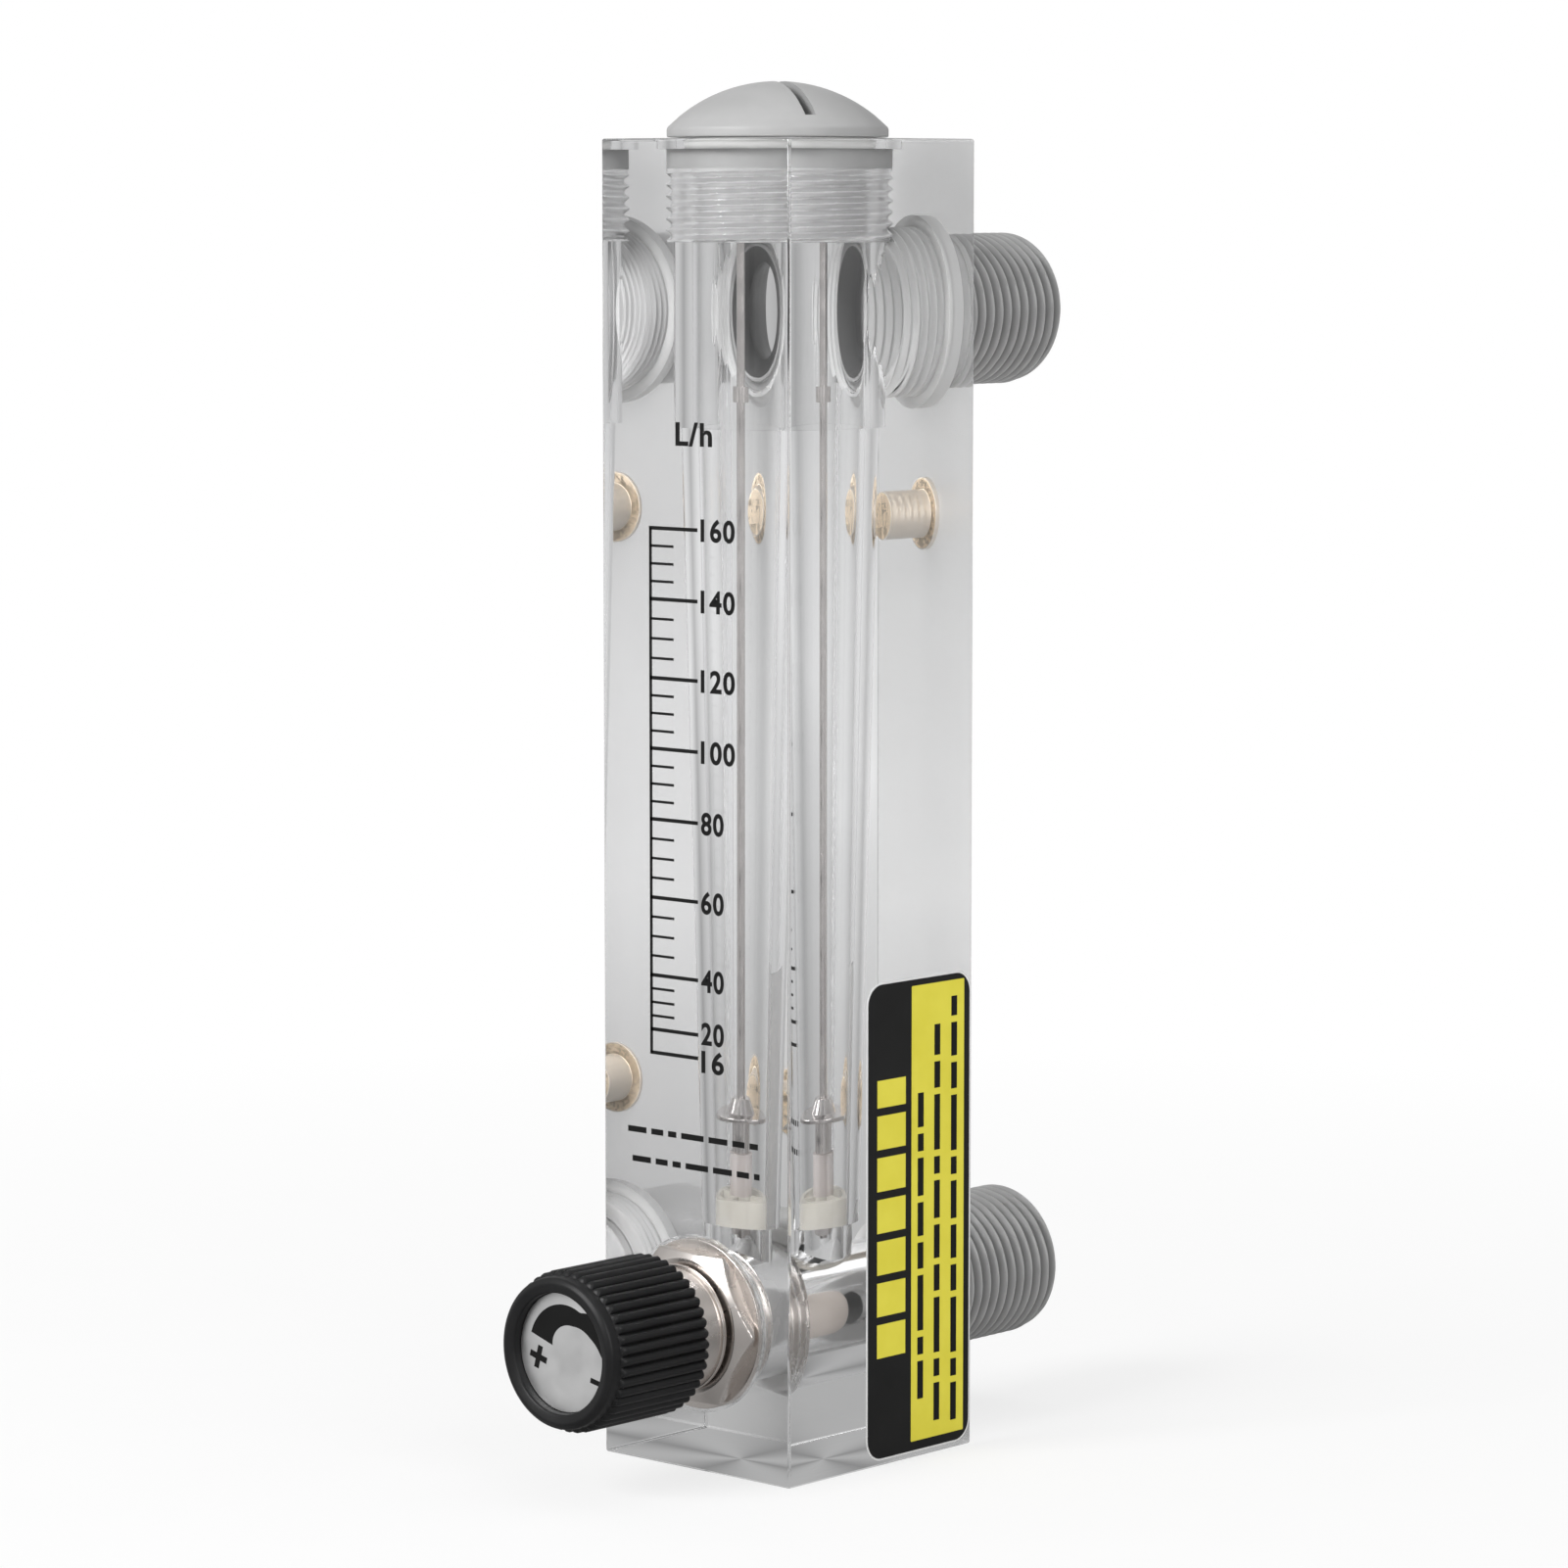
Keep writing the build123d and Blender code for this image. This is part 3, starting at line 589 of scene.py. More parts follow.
# Materials
CLEAR = acrylic("clear acrylic")
CAP_GREY = moulded("pale grey plastic", (0.335, 0.335, 0.335), (0.375, 0.375, 0.375), 0.5)
# The mid grey fittings carry painted shade: darker down the nipple's grooves and in the bore
FITTING_GREY = moulded("mid grey plastic", (0.33, 0.33, 0.33), (0.37, 0.37, 0.37), 0.36, painted_shade_strength=0.65)
KNOB_BLACK = moulded("satin black plastic", (0.007, 0.007, 0.0075), (0.011, 0.011, 0.0115), 0.42,
                     grain_per_m=4000, grain_mm=0.004, specular=0.22)
CREAM = moulded("cream plastic", (0.76, 0.73, 0.66), (0.82, 0.79, 0.72), 0.45, clearness=0.5)
PLUG_CREAM = moulded("pinkish cream plastic", (0.62, 0.55, 0.50), (0.70, 0.63, 0.58), 0.4)
SLEEVE = moulded("dull sleeve plastic", (0.66, 0.60, 0.58), (0.72, 0.66, 0.64), 0.6, clearness=0.5)
RUBBER = moulded("seal rubber", (0.55, 0.55, 0.54), (0.62, 0.62, 0.61), 0.5)
PACKING = moulded("white packing", (0.74, 0.74, 0.73), (0.80, 0.80, 0.79), 0.5)
INK = moulded("black ink", (0.004, 0.004, 0.004), (0.007, 0.007, 0.007), 0.5, grain_mm=0.001,
              specular=0.15)
FILM_PALE = moulded("pale label film", (0.72, 0.72, 0.72), (0.78, 0.78, 0.78), 0.35, grain_mm=0.002)
FILM_BLACK = moulded("black label film", (0.008, 0.008, 0.008), (0.012, 0.012, 0.012), 0.45, grain_mm=0.002,
                     specular=0.15)
FILM_YELLOW = moulded("yellow label film", (0.74, 0.66, 0.04), (0.80, 0.72, 0.06), 0.35, grain_mm=0.002)
NICKEL = machined("nickel plate", (0.66, 0.615, 0.585), (0.74, 0.695, 0.66), 0.26)
STEEL = machined("polished steel", (0.60, 0.57, 0.56), (0.68, 0.65, 0.63), 0.16)
BRASS = machined("pale brass", (0.87, 0.75, 0.59), (0.94, 0.83, 0.69), 0.46)
DISC_SILVER = machined("silver disc", (0.74, 0.74, 0.74), (0.80, 0.80, 0.80), 0.42)


# Clear block: a rounded box with the bores cut out of it, threads included
def plug_thread(gap=0.0):
    """M24 x 1.5 thread of the top plug."""
    return (PLUG_BOTTOM_Z, PLUG_THREAD_TOP_Z, PLUG_THREAD_R + gap, FINE_PITCH, FINE_DEPTH, (0.3, 1.0))


def fitting_thread(gap=0.0, start_y=FITTING_NOSE_Y):
    """Thread of a hose fitting, which its hole carries further in."""
    return (start_y, FITTING_NECK_Y, FITTING_THREAD_R + gap, PIPE_PITCH, FINE_DEPTH, (0.5, 0.5))


def bonnet_thread(gap=0.0):
    """M20 x 1.5 thread of the valve bonnet."""
    return (BONNET_COLLAR_Y, BONNET_TAIL_Y, BONNET_THREAD_R + gap, FINE_PITCH, FINE_DEPTH, (0.5, 0.3))


def metering_bore():
    """Cutter for everything bored down the block from its top."""
    return turned([
        (0, PORT_LOW_Z),
        (THROAT_R, PORT_LOW_Z),
        (THROAT_R, TAPER_BOTTOM_Z),
        (TAPER_BOTTOM_R, TAPER_BOTTOM_Z),
        (TAPER_TOP_R, TAPER_TOP_Z),
        (OUTLET_CHAMBER_R, TAPER_TOP_Z),
        (OUTLET_CHAMBER_R, PLUG_BOTTOM_Z),
        (PLUG_THREAD_R + JOINT_GAP, PLUG_BOTTOM_Z),
        (PLUG_THREAD_R + JOINT_GAP, PLUG_SEAT_Z),
        (PLUG_SEAT_R, PLUG_SEAT_Z),
        (PLUG_SEAT_R, BLOCK_HEIGHT + 1),
        (0, BLOCK_HEIGHT + 1),
    ], threads=[plug_thread(JOINT_GAP)], segments=256, cutter=True)


def fitting_bore(start_y, axis_z):
    """Cutter for one hose fitting, tapped from where it starts to the fitting's neck."""
    profile = stepped(start_y, [
        (FITTING_THREAD_R + JOINT_GAP, FITTING_SEAT_Y),
        (FLANGE_R + JOINT_GAP, BACK_Y + 1),
    ])
    return across(turned(profile, [fitting_thread(JOINT_GAP, start_y)], cutter=True), axis_z)


def valve_bore():
    """Cutter for the bonnet's seat and thread, the valve chamber and the seat hole."""
    profile = stepped(FRONT_Y - 1, [
        (BONNET_SEAT_R, BONNET_SEAT_Y),
        (BONNET_THREAD_R + JOINT_GAP, BONNET_TAIL_Y),
        (CHAMBER_R, SEAT_Y),
        (SEAT_R, FITTING_NOSE_Y + 1),
    ])
    return across(turned(profile, [bonnet_thread(JOINT_GAP)], cutter=True), PORT_LOW_Z)


def insert_bore(axis_z):
    """Cutter for one panel insert."""
    profile = stepped(INSERT_Y, [
        (INSERT_R + JOINT_GAP, INSERT_FLANGE_Y),
        (INSERT_FLANGE_R + JOINT_GAP, BACK_Y + 1),
    ])
    return across(turned(profile, segments=64), axis_z)


def clear_block():
    """Block with every bore cut into it, flat on its faces and smooth in its bores."""
    block = box_mesh((-SIDE_X, FRONT_Y, 0), (SIDE_X, BACK_Y, BLOCK_HEIGHT), BLOCK_EDGE)
    cutters = [
        metering_bore(),
        fitting_bore(TAP_START_Y, PORT_HIGH_Z),
        fitting_bore(FITTING_NOSE_Y, PORT_LOW_Z),
        valve_bore(),
        insert_bore(INSERT_LOW_Z),
        insert_bore(INSERT_HIGH_Z),
    ]
    tools = []
    for grid in cutters:
        tool = mended(grid_mesh("cutter", grid))
        tool.shade_smooth()
        tools.append(tool)
    mesh = cut_away(block, tools)
    mesh.set_sharp_from_angle(angle=math.radians(32))
    mark_cuts(mesh)
    return mesh


def mark_cuts(mesh):
    """Shades the block's outer faces flat, and writes for each face how dull the cutter left it,
    how far the piece in it touches it, and how pale the cut looks: the fittings and inserts are
    screwed in tight, the plug's neck too."""
    x, y, z = rows_of(mesh.polygons, "center").T / MM
    facing = np.abs(rows_of(mesh.polygons, "normal")[:, 1]) > 0.9
    from_bore = np.hypot(x, y)
    from_outlet = np.hypot(x, z - PORT_HIGH_Z)
    from_inlet = np.hypot(x, z - PORT_LOW_Z)
    back = y > BACK_Y - NEAR
    front = y < FRONT_Y + NEAR
    outside = back | front | (np.abs(x) > SIDE_X - NEAR) | (z < NEAR) | (z > BLOCK_HEIGHT - NEAR)
    mesh.polygons.foreach_set("use_smooth", ~outside)
    behind = (y > FITTING_NOSE_Y - NEAR) & ~back & (np.abs(x) < FLANGE_R + 0.2)
    in_port = np.minimum(np.abs(z - PORT_LOW_Z), np.abs(z - PORT_HIGH_Z)) < FLANGE_R + 0.2
    waterway = (y > 0.3) & (y < FITTING_NOSE_Y) & (from_outlet < FITTING_THREAD_R + 0.1)
    waterway &= from_bore > OUTLET_CHAMBER_R + JOINT_GAP
    at_plug = from_bore < PLUG_THREAD_R + 0.2
    screwed_top = at_plug & (z > PLUG_BOTTOM_Z + 0.1) & (z < PLUG_THREAD_TOP_Z)
    neck = at_plug & (z > PLUG_THREAD_TOP_Z) & (z < PLUG_SEAT_Z + NEAR)
    valve = (y > FRONT_Y + 0.1) & (y < SEAT_Y + NEAR) & (from_inlet < BONNET_SEAT_R + 0.1)
    screwed_front = valve & (y < BONNET_TAIL_Y)
    marked_faces(mesh, "cut_roughness", [(back, 0.3), (valve, 0.1), (screwed_top, 0.06)])
    marked_faces(mesh, "seated", [(behind | neck | waterway, 1.0), (back, 0.75),
                                  (screwed_top | screwed_front, 0.3)])
    marked_faces(mesh, "cut_paleness", [(behind, 0.35), (behind & in_port | waterway, 0.5),
                                        (behind & in_port & facing, 0.6), (back, 0.2), (screwed_top, 0.6)])


add_piece("clear_block", clear_block(), CLEAR, "meter", ["body_block"], weighted=False)


# Top plug
def top_plug():
    """Screwed plug with a domed cap; the dome is an arc through the rim and the apex."""
    dome_r = (CAP_R ** 2 + CAP_RISE ** 2) / (2 * CAP_RISE)
    half_angle = math.asin(CAP_R / dome_r)
    arc = np.linspace(half_angle, 0, 28)
    dome = np.stack([dome_r * np.sin(arc), CAP_RIM_TOP_Z + CAP_RISE - dome_r + dome_r * np.cos(arc)], axis=1)
    lower = eased([
        (0, ROD_HOLE_TOP_Z),
        (ROD_R + JOINT_GAP, ROD_HOLE_TOP_Z),
        (ROD_R + JOINT_GAP, PLUG_BOTTOM_Z),
        (PLUG_THREAD_R - PLUG_LEAD, PLUG_BOTTOM_Z),
        (PLUG_THREAD_R, PLUG_BOTTOM_Z + PLUG_LEAD),
        (PLUG_THREAD_R, PLUG_THREAD_TOP_Z),
        (PLUG_NECK_R, PLUG_THREAD_TOP_Z),
        (PLUG_NECK_R, CAP_UNDER_Z),
        (CAP_R, CAP_UNDER_Z),
        (CAP_R, CAP_RIM_TOP_Z),
        tuple(dome[4]),
    ], 0.3)
    profile = np.concatenate([lower[:-1], dome[4:]])
    whole = mended(grid_mesh("plug", turned(profile, threads=[plug_thread()])))
    apex_z = CAP_RIM_TOP_Z + CAP_RISE
    slot = box_mesh((-2 * CAP_R, -SLOT_WIDTH / 2, apex_z - SLOT_DEPTH),
                    (2 * CAP_R, SLOT_WIDTH / 2, apex_z + SLOT_DEPTH))
    slot.transform(Matrix.Rotation(math.radians(SLOT_TURN_DEG), 4, "Z"))
    return smoothed(cut_away(whole, [slot]))


add_piece("top_plug_moulding", top_plug(), CAP_GREY, "meter", ["top_plug"])


# Hose fittings
def hose_fitting(axis_z):
    """Fitting with a screwed end in the block, a flange and a screwed nipple. Its points carry a
    share of painted shade for its colour: 0 to 1 down the nipple's thread, 1 in the bore."""
    profile = eased_loop([
        (FITTING_MOUTH_R, FITTING_NOSE_Y),
        (FITTING_NOSE_R, FITTING_NOSE_Y),
        (FITTING_NOSE_R, FITTING_THREAD_Y),
        (FITTING_THREAD_R, FITTING_THREAD_Y),
        (FITTING_THREAD_R, FITTING_NECK_Y),
        (FITTING_NECK_R, FITTING_NECK_Y),
        (FITTING_NECK_R, FLANGE_Y),
        (FLANGE_R, FLANGE_Y),
        (FLANGE_R, BACK_Y),
        (NIPPLE_NECK_R, BACK_Y),
        (NIPPLE_NECK_R, NIPPLE_THREAD_Y),
        (NIPPLE_THREAD_R, NIPPLE_THREAD_Y),
        (NIPPLE_THREAD_R, NIPPLE_CHAMFER_Y),
        (NIPPLE_THREAD_R - (NIPPLE_END_Y - NIPPLE_CHAMFER_Y), NIPPLE_END_Y),
        (FITTING_BORE_R, NIPPLE_END_Y),
        (FITTING_BORE_R, FITTING_MOUTH_END_Y),
    ], 0.15, steps=3)
    nipple_thread = (NIPPLE_THREAD_Y, NIPPLE_END_Y, NIPPLE_THREAD_R, PIPE_PITCH, PIPE_DEPTH, (1.2, 0.01))
    grid = turned(profile, threads=[fitting_thread(), nipple_thread], closed=True)
    mesh = turned_piece("fitting", grid, axis_z, sharp_deg=50)
    # Painted shade: darker the deeper a point lies in a groove of the nipple, darkest in the bore
    x, y, z = rows_of(mesh.vertices, "co").T / MM
    radius = np.hypot(x, z - axis_z)
    depth = np.clip((NIPPLE_THREAD_R - radius) / PIPE_DEPTH, 0, 1)
    depth[(y < NIPPLE_THREAD_Y) | (y > NIPPLE_CHAMFER_Y)] = 0
    depth[radius < FITTING_MOUTH_R + 0.1] = 1
    mesh.attributes.new("painted_shade_share", "FLOAT", "POINT").data.foreach_set("value", depth)
    return mesh


for port, port_z in (("outlet", PORT_HIGH_Z), ("inlet", PORT_LOW_Z)):
    add_piece(port + "_hose_fitting", hose_fitting(port_z), FITTING_GREY, "meter",
              [port + "_fitting"])


# Brass panel inserts
def panel_insert(axis_z):
    """Flanged insert with rounded ribs round its shank and a blind screw hole. The shank's radius
    falls by depth (1 - cos(2 pi y / pitch)) / 2."""
    profile = eased([
        (0, INSERT_HOLE_Y),
        (INSERT_HOLE_R, INSERT_HOLE_Y),
        (INSERT_HOLE_R, BACK_Y),
        (INSERT_FLANGE_R, BACK_Y),
        (INSERT_FLANGE_R, INSERT_FLANGE_Y),
        (INSERT_R, INSERT_FLANGE_Y),
        (INSERT_R, INSERT_Y),
        (0, INSERT_Y),
    ], 0.12)
    points = divided(profile, INSERT_PITCH / 12, False)
    shank = (points[:, 0] > INSERT_R - 0.01) & (points[:, 0] < INSERT_R + 0.01)
    wave = 0.5 - 0.5 * np.cos(2 * math.pi * (points[:, 1] - INSERT_Y) / INSERT_PITCH)
    points[:, 0] -= np.where(shank, INSERT_GROOVE_DEPTH * wave, 0)
    return turned_piece("insert", turned(points[::-1], segments=64), axis_z, closed=False, sharp_deg=50)


for place, insert_z in (("upper", INSERT_HIGH_Z), ("lower", INSERT_LOW_Z)):
    add_piece(place + "_panel_insert", panel_insert(insert_z), BRASS, "meter",
              ["insert_" + place])


# Float
def float_piece():
    """Turned float with a thin reading disc."""
    profile = eased_loop([
        (FLOAT_BORE_R, FLOAT_BOTTOM_Z),
        (FLOAT_STEM_R, FLOAT_BOTTOM_Z),
        (FLOAT_STEM_R, FLOAT_DISC_Z),
        (FLOAT_DISC_R, FLOAT_DISC_Z),
        (FLOAT_DISC_R, FLOAT_DISC_TOP_Z),
        (FLOAT_CONE_R, FLOAT_DISC_TOP_Z),
        (FLOAT_CONE_TOP_R, FLOAT_TOP_Z),
        (FLOAT_BORE_R, FLOAT_TOP_Z),
    ], 0.12)
    grid = turned(profile, closed=True, segments=96)
    return smoothed(mended(grid_mesh("float", grid, wrap_rows=True)))


add_piece("turned_float", float_piece(), STEEL, "float", ["float"])


# Valve bonnet
def hexagon_radius(angle, flats, turn_deg):
    """Distance to a hexagon's side at an angle: half its flats over the cosine of the angle from
    the middle of the nearest flat. A high power mean of the six cosines stands for the largest
    of them, which rounds the corners a little."""
    sides = math.radians(turn_deg) + np.arange(6)[:, None, None] * math.pi / 3
    reach = np.maximum(np.cos(angle[None] - sides), 0)
    return flats / 2 / np.sum(reach ** 120, axis=0) ** (1 / 120)


def valve_bonnet():
    """Hexagon-headed bonnet: collar, thread and neck turned, head cut to six flats."""
    corner_r = HEX_FLATS / 2 / math.cos(math.pi / 6)
    profile = eased_loop([
        (BONNET_BORE_R, BONNET_TAIL_Y),
        (BONNET_BORE_R, PACKING_Y),
        (PACKING_R, PACKING_Y),
        (PACKING_R, BONNET_FRONT_Y),
        (BONNET_NECK_R, BONNET_FRONT_Y),
        (BONNET_NECK_R, HEX_FRONT_Y),
        (HEX_FACE_R, HEX_FRONT_Y),
        (corner_r, HEX_CHAMFER_Y),
        (corner_r, FRONT_Y - HEX_FOOT),
        (BONNET_COLLAR_R - HEX_FOOT, FRONT_Y),
        (BONNET_COLLAR_R, FRONT_Y),
        (BONNET_COLLAR_R, BONNET_COLLAR_Y),
        (BONNET_THREAD_R, BONNET_COLLAR_Y),
        (BONNET_THREAD_R, BONNET_TAIL_Y),
    ], 0.12)[::-1]
    segments = 240
    grid = turned(profile, threads=[bonnet_thread()], closed=True, segments=segments)
    angle = np.arange(segments)[None, :] * 2 * math.pi / segments + np.zeros((len(grid), 1))
    radius = np.hypot(grid[..., 0], grid[..., 1])
    height = grid[..., 2]
    head = (height > HEX_FRONT_Y - NEAR) & (height < FRONT_Y - NEAR) & (radius > BONNET_NECK_R + 0.5)
    flats = hexagon_radius(angle, HEX_FLATS, 30 + HEX_TURN_DEG)
    cut = np.where(head, np.minimum(radius, flats), radius)
    grid[..., :2] *= (cut / radius)[..., None]
    return turned_piece("bonnet", grid, PORT_LOW_Z)


add_piece("hexagon_bonnet", valve_bonnet(), NICKEL, "meter", ["valve_bonnet"])


# Gland nut on the bonnet's neck
def gland():
    """Round cap nut with a lip at its back."""
    profile = eased_loop([
        (GLAND_HOLE_R, GLAND_FRONT_Y),
        (GLAND_R, GLAND_FRONT_Y),
        (GLAND_R, GLAND_LIP_Y - GLAND_GROOVE_WIDTH),
        (GLAND_GROOVE_R, GLAND_LIP_Y - GLAND_GROOVE_FLOOR),
        (GLAND_GROOVE_R, GLAND_LIP_Y),
        (GLAND_LIP_R, GLAND_LIP_Y),
        (GLAND_LIP_R, GLAND_REAR_Y),
        (BONNET_NECK_R + JOINT_GAP, GLAND_REAR_Y),
        (BONNET_NECK_R + JOINT_GAP, GLAND_WALL_Y),
        (PACKING_R - JOINT_GAP, GLAND_WALL_Y),
        (PACKING_R - JOINT_GAP, BONNET_FRONT_Y),
        (GLAND_HOLE_R, BONNET_FRONT_Y),
    ], 0.1)
    return turned_piece("gland", turned(profile, closed=True), PORT_LOW_Z)


add_piece("round_gland", gland(), NICKEL, "meter", ["gland_nut"])


# Stem and valve plug
def stem():
    """Stem with its shaft, its screwed shank, the stop shoulder and the swivel pin."""
    profile = eased(stepped(SHAFT_TIP_Y, [
        (SHAFT_R, SHANK_Y),
        (SHANK_R, SHOULDER_Y),
        (SHOULDER_R, SHOULDER_END_Y),
        (SWIVEL_R, SWIVEL_END_Y),
    ]), 0.15)
    shank_thread = (SHANK_Y, SHOULDER_Y, SHANK_R, STEM_PITCH, STEM_DEPTH, (0.5, 0.5))
    grid = turned(profile, [shank_thread], segments=72)
    return turned_piece("stem", grid, PORT_LOW_Z, closed=False, sharp_deg=50)


def valve_plug():
    """Blunt plug with well rounded edges."""
    profile = eased(stepped(VALVE_PLUG_FRONT_Y, [(VALVE_PLUG_R, VALVE_PLUG_END_Y)]), 0.6)
    return turned_piece("plug", turned(profile, segments=96), PORT_LOW_Z, closed=False)


add_piece("turned_stem", stem(), NICKEL, "valve_stem", ["valve_stem"])
add_piece("moulded_valve_plug", valve_plug(), PLUG_CREAM, "valve_plug", ["valve_plug"])


# Knob
def knob():
    """Turned knob whose skirt swells into ribs: the radius gains a rounded rib 44 times round,
    and the ribs fade in behind the bezel."""
    well_y = KNOB_FRONT_Y + KNOB_FACE_DEPTH + DISC_THICKNESS + KNOB_WELL_DEPTH
    profile = eased_loop([
        (SHAFT_R + JOINT_GAP, well_y),
        (KNOB_FACE_R, well_y),
        (KNOB_FACE_R, KNOB_FRONT_Y + KNOB_LIP_DEPTH),
        (KNOB_CREST_R, KNOB_FRONT_Y),
        (KNOB_ROOT_R - 0.1, KNOB_FRONT_Y + 0.5),
        (KNOB_ROOT_R, KNOB_FRONT_Y + KNOB_RIB_START),
        (KNOB_ROOT_R, KNOB_REAR_Y),
        (KNOB_CAVITY_R, KNOB_REAR_Y),
        (KNOB_CAVITY_R, KNOB_CAVITY_Y),
        (SHAFT_R + JOINT_GAP, KNOB_CAVITY_Y),
    ], 0.3)
    points = divided(profile, 0.45, True)
    segments = KNOB_RIBS * 12
    grid = turned(points, closed=True, segments=segments)
    angle = np.arange(segments)[None, :] * 2 * math.pi / segments
    rib = np.abs(np.cos(KNOB_RIBS / 2 * angle)) ** 0.8
    y = grid[..., 2]
    rise = np.clip((y - KNOB_FRONT_Y - KNOB_RIB_START) / 0.55, 0, 1)
    rise = np.sin(rise * math.pi / 2)
    radius = np.hypot(grid[..., 0], grid[..., 1])
    skirt = radius > KNOB_CAVITY_R + 0.3
    grown = radius + np.where(skirt, KNOB_RIB_HEIGHT * rib * rise, 0)
    grid[..., :2] *= (grown / radius)[..., None]
    return turned_piece("knob", grid, PORT_LOW_Z, sharp_deg=45)


def disc():
    """Face disc in the knob's front recess."""
    front_y = KNOB_FRONT_Y + KNOB_FACE_DEPTH
    profile = eased(stepped(front_y, [(KNOB_FACE_R - JOINT_GAP, front_y + DISC_THICKNESS)]), 0.08)
    return turned_piece("disc", turned(profile), PORT_LOW_Z, closed=False)


add_piece("ribbed_knob", knob(), KNOB_BLACK, "valve_stem", ["knob_shell"])
add_piece("knob_disc", disc(), DISC_SILVER, "valve_stem", ["knob_face_disc"])


# Printing on the knob's disc
def on_disc(u, v, w):
    """Disc plane: u to the right, v up, w out of the disc towards -Y."""
    return np.stack([u, KNOB_FRONT_Y + KNOB_FACE_DEPTH - w, PORT_LOW_Z + v], axis=-1)


# Edges of the crescent, as (angle round the disc, radius), and the signs beside it
WEDGE_INNER = [(162, 2.2), (66, 4.0), (28, 5.35), (5, 6.6), (-10, 7.7)]
WEDGE_OUTER = [(162, 6.3), (62, 6.35), (44, 7.9), (-10, 7.9)]
PLUS_CENTRE = (-4.7, -1.2)
PLUS_WIDTH = 0.85
PLUS_TURN_DEG = -15
MINUS_CENTRE = (6.3, -3.3)
MINUS_WIDTH = 0.7
MINUS_TURN_DEG = -11
SIGN_LENGTH = 3.1


def flow_wedge():
    """Crescent that widens round the disc: the radius of each edge runs evenly with the angle from
    one given point to the next."""
    start_deg, end_deg = WEDGE_INNER[0][0], WEDGE_INNER[-1][0]
    angle = np.radians(np.linspace(start_deg, end_deg, 64))
    edges = []
    for edge in (WEDGE_OUTER, WEDGE_INNER):
        given_deg, radii = np.transpose(edge)
        radius = np.interp(-angle, -np.radians(given_deg), radii)
        edges.append(np.stack([radius * np.cos(angle), radius * np.sin(angle)], axis=1))
    outer, inner = edges
    return np.concatenate([outer, inner[::-1]])


def bar(centre, length, width, turn_deg):
    """Rectangle of a length and a width about a point, turned by an angle."""
    turn = math.radians(turn_deg)
    corners = np.array([(-1, -1), (1, -1), (1, 1), (-1, 1)]) * (length / 2, width / 2)
    rotation = np.array([(math.cos(turn), math.sin(turn)), (-math.sin(turn), math.cos(turn))])
    return corners @ rotation + np.asarray(centre, float)


def dashes(start, end, lengths, space):
    """Start and length of each dash in a row: the lengths are taken in turn, and the last dash
    ends with the row."""
    row = []
    while start < end - space:
        length = min(lengths[len(row) % len(lengths)], end - start)
        row.append((start, length))
        start += length + space
    return row


disc_print = joined([
    plate_mesh(flow_wedge(), on_disc, INK_HEIGHT),
    plate_mesh(bar(PLUS_CENTRE, SIGN_LENGTH, PLUS_WIDTH, PLUS_TURN_DEG), on_disc, INK_HEIGHT),
    plate_mesh(bar(PLUS_CENTRE, SIGN_LENGTH, PLUS_WIDTH, PLUS_TURN_DEG + 90), on_disc, INK_HEIGHT + 0.001),
    plate_mesh(bar(MINUS_CENTRE, SIGN_LENGTH, MINUS_WIDTH, MINUS_TURN_DEG), on_disc, INK_HEIGHT),
])
add_piece("knob_disc_print", disc_print, INK, "valve_stem", weighted=False)


# Scale on the front face: ticks, numbers, unit
def on_front(u, v, w):
    """Front plane: u along +X, v along +Z, w out towards -Y."""
    return np.stack([u, FRONT_Y - w, v], axis=-1)


SCALE_SPINE_X = -8.0
SCALE_MAJOR_X = 0.3
SCALE_MINOR_X = -3.8
SCALE_LINE = 0.5
SCALE_HEIGHTS = {160: 126.5, 140: 117.05, 120: 106.5, 100: 97.05, 80: 87.55, 60: 77.0, 40: 66.5,
                 20: 59.16, 16: 56.0}
NUMBER_X = 1.12
NUMBER_HEIGHT = 3.1
DIGIT_WIDTH = 2.04
NUMBER_LIFTS = {20: 0.25, 16: -0.35}
UNIT_X = -3.4
UNIT_Z = 137.5
UNIT_WIDTH = 6.6
UNIT_HEIGHT = 3.2
NOTE_ROWS = [(45.2, -12.4, 12.4), (41.2, -11.6, 11.6)]
NOTE_DASHES = [3.4, 2.2, 1.5, 4.1]
NOTE_LINE = 0.8
NOTE_SPACE = 0.9


def scale_lines():
    """Spine, a long tick at each number, three short ones between each two, and two rows of dashes
    below the scale."""
    heights = list(SCALE_HEIGHTS.values())
    top, foot = heights[0], heights[-1]
    middle = (SCALE_SPINE_X + SCALE_MAJOR_X) / 2
    reach = SCALE_MAJOR_X - SCALE_SPINE_X + SCALE_LINE
    lines = [bar((SCALE_SPINE_X, (top + foot) / 2), SCALE_LINE, top - foot, 0)]
    for height in heights:
        lines.append(bar((middle, height), reach, SCALE_LINE, 0))
    short = SCALE_MINOR_X - SCALE_SPINE_X
    for upper, lower in zip(heights[:-2], heights[1:-1]):
        for quarter in (1, 2, 3):
            height = upper + (lower - upper) * quarter / 4
            lines.append(bar((SCALE_SPINE_X + short / 2, height), short, SCALE_LINE * 0.7, 0))
    for row_z, left, right in NOTE_ROWS:
        for start, length in dashes(left, right, NOTE_DASHES, NOTE_SPACE):
            lines.append(bar((start + length / 2, row_z), length, NOTE_LINE, 0))
    return joined([plate_mesh(line, on_front, INK_HEIGHT) for line in lines])


